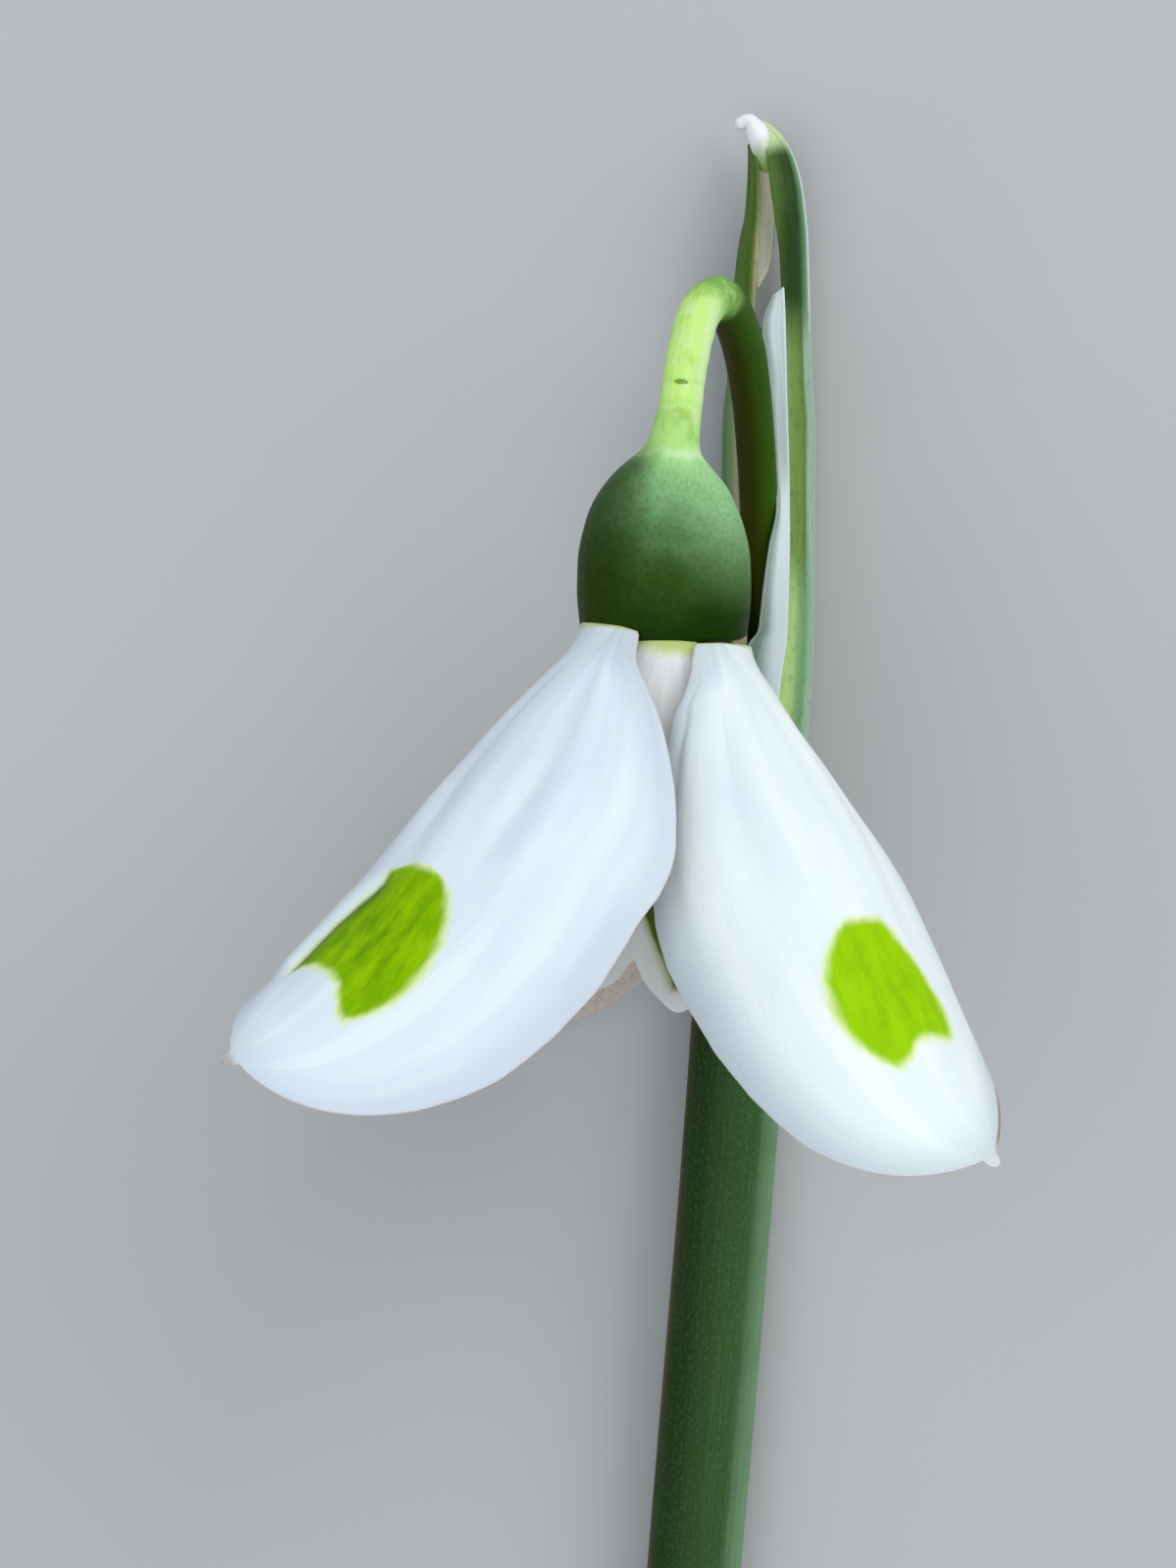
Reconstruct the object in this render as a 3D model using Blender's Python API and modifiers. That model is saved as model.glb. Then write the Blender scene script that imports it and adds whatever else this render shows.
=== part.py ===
"""Snowdrop flower, picked with a length of its stem and lying on a surface.

The stem lies along Y with its cut end towards -Y, +Z is up, and the origin is the middle of the footprint.
The flower nods back over the stem: its stalk rises out of the spathe, arches over and carries the ovary, and
the petals open from there towards -Y, with the rear petal's tip on the surface.
Dimensions are in millimetres until they reach Blender, which gets metres.
"""

import math
from dataclasses import dataclass

import bmesh
import bpy
import numpy as np

MM = 0.001
COLLECTION_NAME = "snowdrop_flower"

# The flower's axis starts where the petals join the ovary and points the way that the flower opens.
FLOWER_BASE = np.array([3.3, 6.3, 17.5])
FLOWER_LEAN = 6.6  # degrees from -Y towards -X
FLOWER_DIP = 3.0  # degrees down towards the surface

STEM_ROUTE = [(2.6, -60.0), (4.95, -33.4), (6.45, -15.5), (7.5, -0.35)]  # on the surface, cut end first
STEM_RADIUS = 2.1
STEM_TOP_RADIUS = 2.15

SPATHE_ROUTE = [
    (7.55, 0.15, 2.2), (7.85, 3.1, 2.2), (8.05, 6.2, 2.2), (8.12, 9.0, 2.2), (8.15, 15.5, 2.25),
    (8.25, 22.5, 2.5), (8.3, 26.5, 2.7), (7.95, 28.6, 2.8), (6.85, 29.8, 2.8),
]
SPATHE_HALF_WIDTHS = [2.1, 2.15, 2.15, 2.15, 2.15, 1.75, 1.25, 0.9, 0.35]
SPATHE_HALF_DEPTH_RATIO = 0.96
SPATHE_WRAP = [172, 172, 164, 118, 104, 98, 96, 90, 80]  # degrees each way round from the underside
SPATHE_THICKNESS = 0.4

PEDICEL_RADIUS = 1.0
PEDICEL_ROUTE = [
    (7.6, 0.3, 2.2), (7.8, 4.0, 2.25), (7.9, 7.1, 2.45), (7.88, 10.3, 3.0), (7.68, 14.0, 4.7),
    (7.28, 17.3, 7.5), (6.7, 19.5, 10.3), (5.7, 20.8, 13.3), (4.75, 20.0, 15.8), (4.2, 18.2, 17.4),
    (3.85, 16.3, 18.0), (3.55, 14.6, 18.0),
]

OVARY_TOP = np.array([3.42, 14.0, 17.95])
# Distance from the petals' end as a share of the ovary's length, and radius.
OVARY_PROFILE = [
    (0.05, 3.45), (0.12, 3.65), (0.3, 3.77), (0.5, 3.58), (0.68, 3.1), (0.8, 2.6), (0.9, 2.0), (1.0, 1.3),
]

PETAL_BASE_RADIUS = 2.9
PETAL_THICKNESS = 0.5
PETAL_START = 0.02  # share of the length at which the claw begins, clear of the ovary
PETAL_ROW_CROWDING = 0.92  # below 1, the rows of the mesh crowd towards the tip
CLAW_LIFT = 0.5  # further out from the axis at the very base
CLAW_LIFT_SHARE = 0.2  # of the length, where the lift has gone
FLICK_START = 0.62  # share of the length at which the tip begins to turn away
MIDRIB_POINTS = 81
# Shares of the length at which a petal's fullness is given.
FULLNESS_SHARES = (0.0, 0.06, 0.15, 0.3, 0.5, 0.7, 0.86, 0.95, 1.0)
EVEN_FULLNESS = (1.0,) * len(FULLNESS_SHARES)

INNER_LENGTH = 14.9
INNER_THICKNESS = 0.45
INNER_START = 0.25  # below the ovary, clear of it
INNER_NOTCH = 1.3
INNER_NOTCH_WIDTH = 0.2  # of the half width
INNER_CORNER = 2.6  # how far the sides of the lip fall short of its middle
INNER_HALF_WIDTHS = [(0.0, 1.15), (0.25, 2.9), (0.5, 4.3), (0.75, 4.95), (1.0, 4.7)]
INNER_RADII = [(0.0, 2.15), (0.2, 3.0), (0.45, 4.1), (0.7, 4.6), (0.88, 4.75), (1.0, 5.1)]
INNER_SPIRAL = 0.45  # each side edge is this much nearer the axis or further from it than the middle
INNER_SPIRAL_SHARE = 0.4  # of the length, where the spiral is full
INNER_AZIMUTHS = {"inner_petal_front": 2.0, "inner_petal_rear_right": 122.0, "inner_petal_rear_left": -118.0}

STAMEN_COUNT = 6
STAMEN_RING_RADIUS = 1.25
STAMEN_INSET = 0.02  # above the base of the petals, towards the ovary
FILAMENT_LENGTH = 1.4
FILAMENT_RADIUS = 0.16
ANTHER_LENGTH = 5.8
ANTHER_RADIUS = 0.46
ANTHER_LEAN = 0.045  # towards the axis, per unit of distance from the foot
# Share of the length, and share of the radius there.
ANTHER_PROFILE = [(0.0, 0.6), (0.12, 0.95), (0.45, 0.9), (0.8, 0.6), (1.0, 0.12)]

STYLE_LENGTH = 8.6
STYLE_RADIUS = 0.25
STYLE_PROFILE = [(0.0, 1.15), (0.33, 1.0), (0.66, 0.9), (0.97, 0.75), (1.0, 0.35)]


@dataclass
class OuterPetal:
    """One outer petal: angles in degrees, lengths in millimetres, curls in radians a millimetre."""

    azimuth: float  # round the flower's axis from straight up, towards +X
    spread: tuple  # from the axis at the claw, the middle and the tip
    tip_flick: float  # added outwards over the last third
    sway: float  # sideways heading gained along the length
    tip_sway: float
    roll: float  # turn of the blade about its length, most at the middle
    tip_roll: float
    curl: tuple  # across the blade at the claw, the middle and the tip
    near_side: int  # +1 or -1: the edge that faces the flower's front
    near_curl: float  # that edge's curl as a share of the other's
    length: float = 26.9
    half_width: float = 9.45
    claw_half_width: float = 1.3
    widest_at: float = 0.51
    shoulder_power: float = 1.13
    tip_power: float = 0.52
    near_fullness: tuple = EVEN_FULLNESS  # the near half's width as a share of the plain outline's
    far_fullness: tuple = EVEN_FULLNESS


OUTER_PETALS = {
    "outer_petal_left": OuterPetal(
        azimuth=-35.1, spread=(61.8, 39.2, 39.7), tip_flick=16.6, sway=-12.0, tip_sway=-23.0,
        roll=5.5, tip_roll=-15.6, curl=(0.28, 0.172, 0.189), near_side=1, near_curl=0.6,
        near_fullness=(0.69, 0.85, 1.11, 1.03, 1.0, 1.02, 1.01, 0.94, 0.82),
        far_fullness=(2.5, 1.6, 1.28, 1.06, 0.79, 0.73, 0.75, 0.72, 0.35),
    ),
    "outer_petal_right": OuterPetal(
        azimuth=41.2, spread=(56.6, 42.5, 26.6), tip_flick=21.2, sway=0.2, tip_sway=22.0,
        roll=0.9, tip_roll=10.6, curl=(0.28, 0.148, 0.151), near_side=-1, near_curl=1.16, length=27.0,
        near_fullness=(0.86, 0.9, 1.02, 1.05, 0.99, 0.995, 1.0, 0.96, 0.82),
        far_fullness=(2.6, 1.65, 1.28, 0.95, 0.75, 0.8, 0.66, 0.52, 0.3),
    ),
    "outer_petal_rear": OuterPetal(
        azimuth=-152.0, spread=(56.0, 34.0, 27.0), tip_flick=1.0, sway=2.0, tip_sway=-5.0,
        roll=0.0, tip_roll=0.0, curl=(0.28, 0.148, 0.142), near_side=1, near_curl=1.0, length=25.7,
    ),
}


def flower_directions():
    """The flower's axis, its right and its front (the side turned up), as unit vectors."""
    lean, dip = math.radians(FLOWER_LEAN), math.radians(FLOWER_DIP)
    axis = np.array([
        -math.sin(lean) * math.cos(dip),
        -math.cos(lean) * math.cos(dip),
        -math.sin(dip),
    ])
    front = np.array([0.0, 0.0, 1.0])
    front = front - axis * (front @ axis)
    front /= np.linalg.norm(front)
    right = np.cross(front, axis)
    return axis, right, front


def smooth_route(points, per_span):
    """Points on a Catmull-Rom curve through the given points, per_span to each stretch."""
    knots = np.array(points, float)
    first = 2 * knots[0] - knots[1]
    last = 2 * knots[-1] - knots[-2]
    knots = np.vstack([first, knots, last])
    route = []
    for before, start, end, after in zip(knots, knots[1:], knots[2:], knots[3:]):
        for step in range(per_span):
            t = step / per_span
            route.append(0.5 * (
                2 * start + (end - before) * t
                + (2 * before - 5 * start + 4 * end - after) * t ** 2
                + (3 * start - before - 3 * end + after) * t ** 3
            ))
    route.append(knots[-2])
    return np.array(route)


def smoothstep(value):
    value = np.clip(value, 0.0, 1.0)
    return value * value * (3 - 2 * value)


def smooth_values(knots, values, at):
    """A curve through the values that never overshoots them, read at the given places."""
    knots, values = np.array(knots, float), np.array(values, float)
    spans = np.diff(knots)
    slopes = np.diff(values) / spans
    tangents = np.zeros_like(values)
    for index in range(1, len(knots) - 1):
        before, after = slopes[index - 1], slopes[index]
        if before * after > 0:
            heavy = 2 * spans[index] + spans[index - 1]
            light = spans[index] + 2 * spans[index - 1]
            tangents[index] = (heavy + light) / (heavy / before + light / after)
    tangents[0], tangents[-1] = slopes[0], slopes[-1]
    index = np.clip(np.searchsorted(knots, at) - 1, 0, len(spans) - 1)
    t = (at - knots[index]) / spans[index]
    return (
        values[index] * (1 + 2 * t) * (1 - t) ** 2
        + tangents[index] * spans[index] * t * (1 - t) ** 2
        + values[index + 1] * t ** 2 * (3 - 2 * t)
        + tangents[index + 1] * spans[index] * t ** 2 * (t - 1)
    )


def material(name, colour, roughness):
    """A Principled material of one colour."""
    finish = bpy.data.materials.new(name)
    finish.use_nodes = True
    shader = finish.node_tree.nodes["Principled BSDF"]
    shader.inputs["Base Color"].default_value = (*colour, 1.0)
    shader.inputs["Roughness"].default_value = roughness
    return finish


def add_object(name, data, finish, collection, parent):
    """Links one piece into the collection, under the flower's empty."""
    piece = bpy.data.objects.new(name, data)
    piece.data.materials.append(finish)
    piece.parent = parent
    collection.objects.link(piece)
    return piece


def stalk_data(name, route, radii, bevel_resolution):
    """A round solid along a route, with a radius for each of its points and filled ends."""
    curve = bpy.data.curves.new(name, "CURVE")
    curve.dimensions = "3D"
    curve.bevel_depth = MM
    curve.bevel_resolution = bevel_resolution
    curve.use_fill_caps = True
    spline = curve.splines.new("POLY")
    spline.points.add(len(route) - 1)
    for point, place, radius in zip(spline.points, route, radii):
        point.co = (*(np.array(place) * MM), 1.0)
        point.radius = radius
    return curve


def sheet_data(name, grid):
    """An open surface over a grid of points, rows by columns; a row of one place becomes one vertex."""
    mesh = bpy.data.meshes.new(name)
    surface = bmesh.new()
    rows = []
    for row in grid:
        if np.ptp(row, axis=0).max() < 1e-6:
            rows.append([surface.verts.new(row[0] * MM)] * len(row))
        else:
            rows.append([surface.verts.new(place * MM) for place in row])
    for lower, upper in zip(rows, rows[1:]):
        for column in range(len(lower) - 1):
            corners = [lower[column], lower[column + 1], upper[column + 1], upper[column]]
            surface.faces.new(list(dict.fromkeys(corners)))
    bmesh.ops.recalc_face_normals(surface, faces=surface.faces)
    surface.to_mesh(mesh)
    surface.free()
    mesh.shade_smooth()
    return mesh


def thicken(piece, thickness):
    """Gives an open surface its thickness, half on each side."""
    solidify = piece.modifiers.new("thickness", "SOLIDIFY")
    solidify.thickness = thickness * MM
    solidify.offset = 0.0


def petal_midrib(petal, along):
    """An outer petal's midrib, and the directions flat across the blade and out of it at each point."""
    axis, right, front = flower_directions()
    azimuth = math.radians(petal.azimuth)
    outward = math.sin(azimuth) * right + math.cos(azimuth) * front
    sideways = math.cos(azimuth) * right - math.sin(azimuth) * front

    tip = np.clip((along - FLICK_START) / (1 - FLICK_START), 0, 1) ** 2
    claw, middle, end = petal.spread
    spread = claw * (1 - along) * (1 - 2 * along) + middle * 4 * along * (1 - along)
    spread = np.radians(spread + end * along * (2 * along - 1) + petal.tip_flick * tip)
    sway = np.radians(petal.sway * along + petal.tip_sway * tip)
    heading = np.outer(np.cos(spread), axis) + np.outer(np.sin(spread), outward)
    heading = heading * np.cos(sway)[:, None] + np.outer(np.sin(sway), sideways)
    steps = (heading[1:] + heading[:-1]) / 2 * petal.length / (len(along) - 1)
    midrib = FLOWER_BASE + np.vstack([np.zeros(3), np.cumsum(steps, axis=0)])
    lift = CLAW_LIFT * (1 - smoothstep(along / CLAW_LIFT_SHARE))
    midrib = midrib + np.outer(PETAL_BASE_RADIUS + lift, outward)

    flat = sideways - heading * (heading @ sideways)[:, None]
    flat /= np.linalg.norm(flat, axis=1)[:, None]
    outer = np.cross(flat, heading)
    outer *= np.sign(outer @ outward)[:, None]
    roll = np.radians(petal.roll * np.sin(math.pi * along) + petal.tip_roll * along ** 2)[:, None]
    return midrib, flat * np.cos(roll) + outer * np.sin(roll), outer * np.cos(roll) - flat * np.sin(roll)


def petal_half_widths(petal, along):
    """The widths from the midrib to the near edge and to the far edge."""
    shoulder = np.sin(math.pi / 2 * np.clip(along / petal.widest_at, 0, 1)) ** petal.shoulder_power
    shoulder = petal.claw_half_width + (petal.half_width - petal.claw_half_width) * shoulder
    point = np.clip((along - petal.widest_at) / (1 - petal.widest_at), 0, 1)
    point = petal.half_width * np.cos(math.pi / 2 * point) ** petal.tip_power
    plain = np.where(along < petal.widest_at, shoulder, point)
    near = plain * smooth_values(FULLNESS_SHARES, petal.near_fullness, along)
    far = plain * smooth_values(FULLNESS_SHARES, petal.far_fullness, along)
    return near, far


def outer_petal_grid(petal, rows=20, columns=13):
    """The middle surface of an outer petal, from its claw to its tip."""
    along = np.linspace(0.0, 1.0, MIDRIB_POINTS)
    across = np.linspace(-1.0, 1.0, columns)
    midrib, flat, outer = petal_midrib(petal, along)
    near, far = petal_half_widths(petal, along)
    claw, middle, end = petal.curl
    curl = claw + (middle - claw) * smoothstep(2 * along) + (end - middle) * smoothstep(2 * along - 1)
    is_near = across * petal.near_side > 0
    stations = np.column_stack([midrib, flat, outer, near, far, curl])
    grid = []
    for share in PETAL_START + (1 - PETAL_START) * np.linspace(0, 1, rows) ** PETAL_ROW_CROWDING:
        station = [np.interp(share, along, values) for values in stations.T]
        place, flat_here, outer_here = (np.array(station[first:first + 3]) for first in (0, 3, 6))
        near_here, far_here, curl_here = station[9:]
        width = np.where(is_near, near_here, far_here) * (share < 1)
        turn = np.where(is_near, petal.near_curl, 1.0) * np.maximum(curl_here * width, 1e-3)
        aside = width / turn * np.sin(turn * across)
        drop = width / turn * (1 - np.cos(turn * across))
        grid.append(place + np.outer(aside, flat_here) - np.outer(drop, outer_here))
    return np.array(grid)


def inner_petal_grid(azimuth, rows=14, columns=11):
    """The middle surface of an inner petal, which with the other two makes a tube with a notched lip."""
    axis, right, front = flower_directions()
    along_knots, widths = zip(*INNER_HALF_WIDTHS)
    radius_knots, radii = zip(*INNER_RADII)
    across = np.linspace(-1.0, 1.0, columns)
    notch = INNER_NOTCH * np.exp(-((across / INNER_NOTCH_WIDTH) ** 2))
    corner = INNER_CORNER * np.abs(across) ** 3
    reach = INNER_LENGTH - notch - corner
    grid = []
    for share in np.linspace(0, 1, rows):
        spiral = INNER_SPIRAL * smoothstep(share / INNER_SPIRAL_SHARE)
        radius = np.interp(share, radius_knots, radii) + spiral * across
        angle = math.radians(azimuth) + across * np.interp(share, along_knots, widths) / radius.mean()
        outward = np.outer(np.sin(angle), right) + np.outer(np.cos(angle), front)
        grid.append(FLOWER_BASE + np.outer(share * reach + INNER_START, axis) + outward * radius[:, None])
    return np.array(grid)


def spathe_grid(per_span=3, columns=15):
    """The middle surface of the spathe: a sheath at its base, an open channel above, and a hooked tip."""
    route = smooth_route(SPATHE_ROUTE, per_span)
    knots = np.arange(len(SPATHE_ROUTE))
    stations = np.linspace(0, len(SPATHE_ROUTE) - 1, len(route))
    half_widths = np.interp(stations, knots, SPATHE_HALF_WIDTHS) - SPATHE_THICKNESS / 2
    wraps = np.radians(np.interp(stations, knots, SPATHE_WRAP))
    headings = np.gradient(route, axis=0)
    across = np.linspace(-1.0, 1.0, columns)
    up = np.array([0.0, 0.0, 1.0])
    grid = []
    for place, heading, half_width, wrap in zip(route, headings, half_widths, wraps):
        side = np.cross(heading, up)
        side /= np.linalg.norm(side)
        angle = across * wrap
        depth = half_width * SPATHE_HALF_DEPTH_RATIO
        grid.append(place + np.outer(half_width * np.sin(angle), side) - np.outer(depth * np.cos(angle), up))
    return np.array(grid)


def build_stem(collection, parent):
    """The stem, lying on the surface all along, and the stalk that rises from its top and nods."""
    green = material("stem_green", (0.10, 0.21, 0.09), 0.5)
    plan = smooth_route(STEM_ROUTE, 5)
    radii = np.linspace(STEM_RADIUS, STEM_TOP_RADIUS, len(plan))
    route = np.column_stack([plan, radii])
    add_object("stem", stalk_data("stem", route, radii, 4), green, collection, parent)

    light_green = material("pedicel_green", (0.25, 0.42, 0.10), 0.45)
    route = smooth_route(PEDICEL_ROUTE, 3)
    radii = [PEDICEL_RADIUS] * len(route)
    add_object("pedicel", stalk_data("pedicel", route, radii, 2), light_green, collection, parent)


def build_spathe(collection, parent):
    """The bract that sheathed the bud."""
    finish = material("spathe_green", (0.22, 0.33, 0.18), 0.5)
    piece = add_object("spathe", sheet_data("spathe", spathe_grid()), finish, collection, parent)
    thicken(piece, SPATHE_THICKNESS)


def build_ovary(collection, parent):
    """The ovary, which bends from the stalk's end into the flower's axis."""
    green = material("ovary_green", (0.09, 0.20, 0.04), 0.35)
    shares, radii = zip(*OVARY_PROFILE)
    steps = np.linspace(shares[0], shares[-1], 15)
    profile = smooth_route(OVARY_PROFILE, 4)
    radii = np.interp(steps, profile[:, 0], profile[:, 1])
    axis, _, _ = flower_directions()
    length = np.linalg.norm(OVARY_TOP - FLOWER_BASE)
    bend = FLOWER_BASE - axis * length / 2
    route = [
        (1 - step) ** 2 * FLOWER_BASE + 2 * step * (1 - step) * bend + step ** 2 * OVARY_TOP
        for step in steps
    ]
    add_object("ovary", stalk_data("ovary", route, radii, 8), green, collection, parent)


def build_petals(collection, parent):
    """Three outer petals and, between them, three inner ones."""
    white = material("outer_petal_white", (0.86, 0.90, 0.93), 0.45)
    for name, petal in OUTER_PETALS.items():
        piece = add_object(name, sheet_data(name, outer_petal_grid(petal)), white, collection, parent)
        thicken(piece, PETAL_THICKNESS)
    inner_white = material("inner_petal_white", (0.80, 0.84, 0.82), 0.5)
    for name, azimuth in INNER_AZIMUTHS.items():
        piece = add_object(name, sheet_data(name, inner_petal_grid(azimuth)), inner_white, collection, parent)
        thicken(piece, INNER_THICKNESS)


def build_stamens(collection, parent):
    """Six stamens in a ring, each a short filament with a pointed anther, and the style between them."""
    yellow = material("anther_yellow", (0.80, 0.42, 0.06), 0.6)
    axis, right, front = flower_directions()
    start = FLOWER_BASE - axis * STAMEN_INSET
    for number in range(STAMEN_COUNT):
        angle = 2 * math.pi * (number + 0.5) / STAMEN_COUNT
        outward = math.sin(angle) * right + math.cos(angle) * front
        foot = start + outward * STAMEN_RING_RADIUS
        route = [foot, foot + axis * FILAMENT_LENGTH * 0.9]
        radii = [FILAMENT_RADIUS, FILAMENT_RADIUS]
        for share, fullness in ANTHER_PROFILE:
            distance = FILAMENT_LENGTH + ANTHER_LENGTH * share
            route.append(foot + axis * distance - outward * distance * ANTHER_LEAN)
            radii.append(ANTHER_RADIUS * fullness)
        name = f"stamen_{number + 1}"
        add_object(name, stalk_data(name, route, radii, 2), yellow, collection, parent)
    green = material("style_green", (0.55, 0.62, 0.30), 0.5)
    route = [start + axis * STYLE_LENGTH * share for share, _ in STYLE_PROFILE]
    radii = [STYLE_RADIUS * fullness for _, fullness in STYLE_PROFILE]
    add_object("style", stalk_data("style", route, radii, 2), green, collection, parent)


def centre_on_footprint(collection, parent):
    """Moves the flower so that its box stands on the origin by the middle of its underside."""
    bpy.context.view_layer.update()
    depsgraph = bpy.context.evaluated_depsgraph_get()
    places = []
    for piece in collection.objects:
        if piece.type == "EMPTY":
            continue
        mesh = piece.evaluated_get(depsgraph).to_mesh()
        places += [piece.matrix_world @ vertex.co for vertex in mesh.vertices]
        piece.evaluated_get(depsgraph).to_mesh_clear()
    places = np.array(places)
    low, high = places.min(axis=0), places.max(axis=0)
    parent.location = (-(low[0] + high[0]) / 2, -(low[1] + high[1]) / 2, -low[2])


def main():
    for thing in list(bpy.data.objects):
        bpy.data.objects.remove(thing, do_unlink=True)
    collection = bpy.data.collections.new(COLLECTION_NAME)
    bpy.context.scene.collection.children.link(collection)
    parent = bpy.data.objects.new("flower_origin", None)
    collection.objects.link(parent)
    build_stem(collection, parent)
    build_spathe(collection, parent)
    build_ovary(collection, parent)
    build_petals(collection, parent)
    build_stamens(collection, parent)
    centre_on_footprint(collection, parent)


main()
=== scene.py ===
"""Looks of a picked snowdrop flower that lies on a pale surface.

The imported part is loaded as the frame, and each of its nodes is replaced by a finer piece of the same
plant. Lengths are in millimetres in the plant's own frame, with the stem along Y and up along Z, until a
Placement turns them into the metres of the part's frame.
"""

from __future__ import annotations

import logging
import math
from collections.abc import Sequence
from dataclasses import dataclass, field
from enum import Enum

import bpy
import numpy as np
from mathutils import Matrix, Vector

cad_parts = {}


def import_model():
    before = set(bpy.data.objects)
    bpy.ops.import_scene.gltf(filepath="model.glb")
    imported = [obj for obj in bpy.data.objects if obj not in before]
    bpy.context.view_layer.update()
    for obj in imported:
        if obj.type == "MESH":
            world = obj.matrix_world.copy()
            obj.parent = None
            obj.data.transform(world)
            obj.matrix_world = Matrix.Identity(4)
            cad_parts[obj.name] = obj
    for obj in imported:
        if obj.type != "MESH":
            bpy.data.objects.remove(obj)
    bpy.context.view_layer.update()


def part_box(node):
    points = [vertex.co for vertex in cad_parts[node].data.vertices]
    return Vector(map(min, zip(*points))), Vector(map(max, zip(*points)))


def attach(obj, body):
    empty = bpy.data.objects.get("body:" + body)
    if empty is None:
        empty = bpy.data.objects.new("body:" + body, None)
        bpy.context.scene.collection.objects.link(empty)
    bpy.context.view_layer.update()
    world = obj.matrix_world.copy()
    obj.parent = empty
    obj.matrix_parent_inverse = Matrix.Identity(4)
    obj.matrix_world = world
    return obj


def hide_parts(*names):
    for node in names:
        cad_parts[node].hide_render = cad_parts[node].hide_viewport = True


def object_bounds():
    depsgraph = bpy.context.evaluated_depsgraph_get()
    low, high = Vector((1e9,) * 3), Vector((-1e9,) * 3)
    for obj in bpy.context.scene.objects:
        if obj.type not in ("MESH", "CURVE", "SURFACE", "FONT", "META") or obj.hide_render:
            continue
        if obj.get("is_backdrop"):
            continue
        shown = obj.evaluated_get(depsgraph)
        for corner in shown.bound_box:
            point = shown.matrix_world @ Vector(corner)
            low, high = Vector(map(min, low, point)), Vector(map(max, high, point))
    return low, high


LOG = logging.getLogger("snowdrop")
MM = 0.001
BODY = "root"

Array = np.ndarray
Colour = tuple[float, float, float]
Point = tuple[float, float, float]
Pairs = Sequence[tuple[float, float]]
Route = Sequence[Point] | Array
Stripes = Sequence[tuple[float, Colour]]

UP = np.array([0.0, 0.0, 1.0])
RIGHT = np.array([1.0, 0.0, 0.0])
SCAR_PLACE = 2.35  # how far the flower stalk's dark dash lies back from the stalk's end
LEAST_THICKNESS = 0.1  # of any sheet


class Slot(Enum):
    """The record's material slots."""

    STEM = "stem"
    SPATHE = "spathe"
    PEDICEL = "pedicel"
    OVARY = "ovary"
    OUTER_PETAL = "outer_petal"
    INNER_PETAL = "inner_petal"
    STAMEN = "stamen"
    STYLE = "style"


class Map(Enum):
    """The coordinate layers that a piece's mesh carries for its finish."""

    PLACE = "place"  # millimetres across and along a sheet; radians round and millimetres along a tube
    SHARE = "share"  # share of the width, -1 to 1, and of the length, 0 to 1
    EDGE = "edge"  # millimetres from the nearest free edge, and 1 on the outer face to 0 on the inner
    FOLD = "fold"  # millimetres past a crease, and how deep the crease is there


# ---- numbers and curves


def colour(red: int, green: int, blue: int) -> Colour:
    """A linear colour from the 0 to 255 values that a screen shows."""
    return tuple(float(c / 12.92 if c <= 0.04045 else ((c + 0.055) / 1.055) ** 2.4)
                 for c in (red / 255, green / 255, blue / 255))


def smoothstep(value: Array | float, low: float = 0.0, high: float = 1.0) -> Array:
    """Rises smoothly from 0 at low to 1 at high."""
    share = np.clip((np.asarray(value, float) - low) / (high - low), 0.0, 1.0)
    return share * share * (3 - 2 * share)


def bell(value: Array | float, centre: float, width: float) -> Array:
    """A smooth bump of height 1 at the centre."""
    return np.exp(-(((np.asarray(value, float) - centre) / width) ** 2))


def unit(vectors: Array) -> Array:
    """The vectors at length 1."""
    return vectors / np.maximum(np.linalg.norm(vectors, axis=-1, keepdims=True), 1e-12)


def smooth_values(knots: Sequence[float], values: Sequence[float], at: Array) -> Array:
    """Reads a smooth curve that goes through the values and never overshoots them.

    Args:
        knots: Rising places of the values.
        values: The curve's values there.
        at: Places to read the curve at; outside the knots it keeps its end values.

    Returns:
        The curve's values, in the shape of at.
    """
    knots, values = np.array(knots, float), np.array(values, float)
    at = np.clip(at, knots[0], knots[-1])
    spans = np.diff(knots)
    slopes = np.diff(values) / spans
    tangents = np.zeros_like(values)
    for index in range(1, len(knots) - 1):
        before, after = slopes[index - 1], slopes[index]
        if before * after > 0:
            heavy, light = 2 * spans[index] + spans[index - 1], spans[index] + 2 * spans[index - 1]
            tangents[index] = (heavy + light) / (heavy / before + light / after)
    tangents[0], tangents[-1] = slopes[0], slopes[-1]
    index = np.clip(np.searchsorted(knots, at) - 1, 0, len(spans) - 1)
    t = (at - knots[index]) / spans[index]
    return (
        values[index] * (1 + 2 * t) * (1 - t) ** 2
        + tangents[index] * spans[index] * t * (1 - t) ** 2
        + values[index + 1] * t ** 2 * (3 - 2 * t)
        + tangents[index + 1] * spans[index] * t ** 2 * (t - 1)
    )


def profile(pairs: Pairs, at: Array) -> Array:
    """The smooth curve through (place, value) pairs, read at the given places."""
    knots, values = zip(*pairs)
    return smooth_values(knots, values, at)


def smooth_route(points: Route | Pairs, count: int) -> Array:
    """A Catmull-Rom curve through the given points, as evenly spaced points.

    Args:
        points: The points to go through.
        count: How many points to return.

    Returns:
        The points of the curve, count by the dimension of the given ones.
    """
    knots = np.array(points, float)
    knots = np.vstack([2 * knots[0] - knots[1], knots, 2 * knots[-1] - knots[-2]])
    steps = np.linspace(0, 1, 24, endpoint=False)[:, None]
    spans = [
        0.5 * (2 * start + (end - before) * steps
               + (2 * before - 5 * start + 4 * end - after) * steps ** 2
               + (3 * start - before - 3 * end + after) * steps ** 3)
        for before, start, end, after in zip(knots, knots[1:], knots[2:], knots[3:])
    ]
    route = np.vstack([*spans, knots[-2:-1]])
    return evenly(route, np.linspace(0, 1, count))


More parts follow.
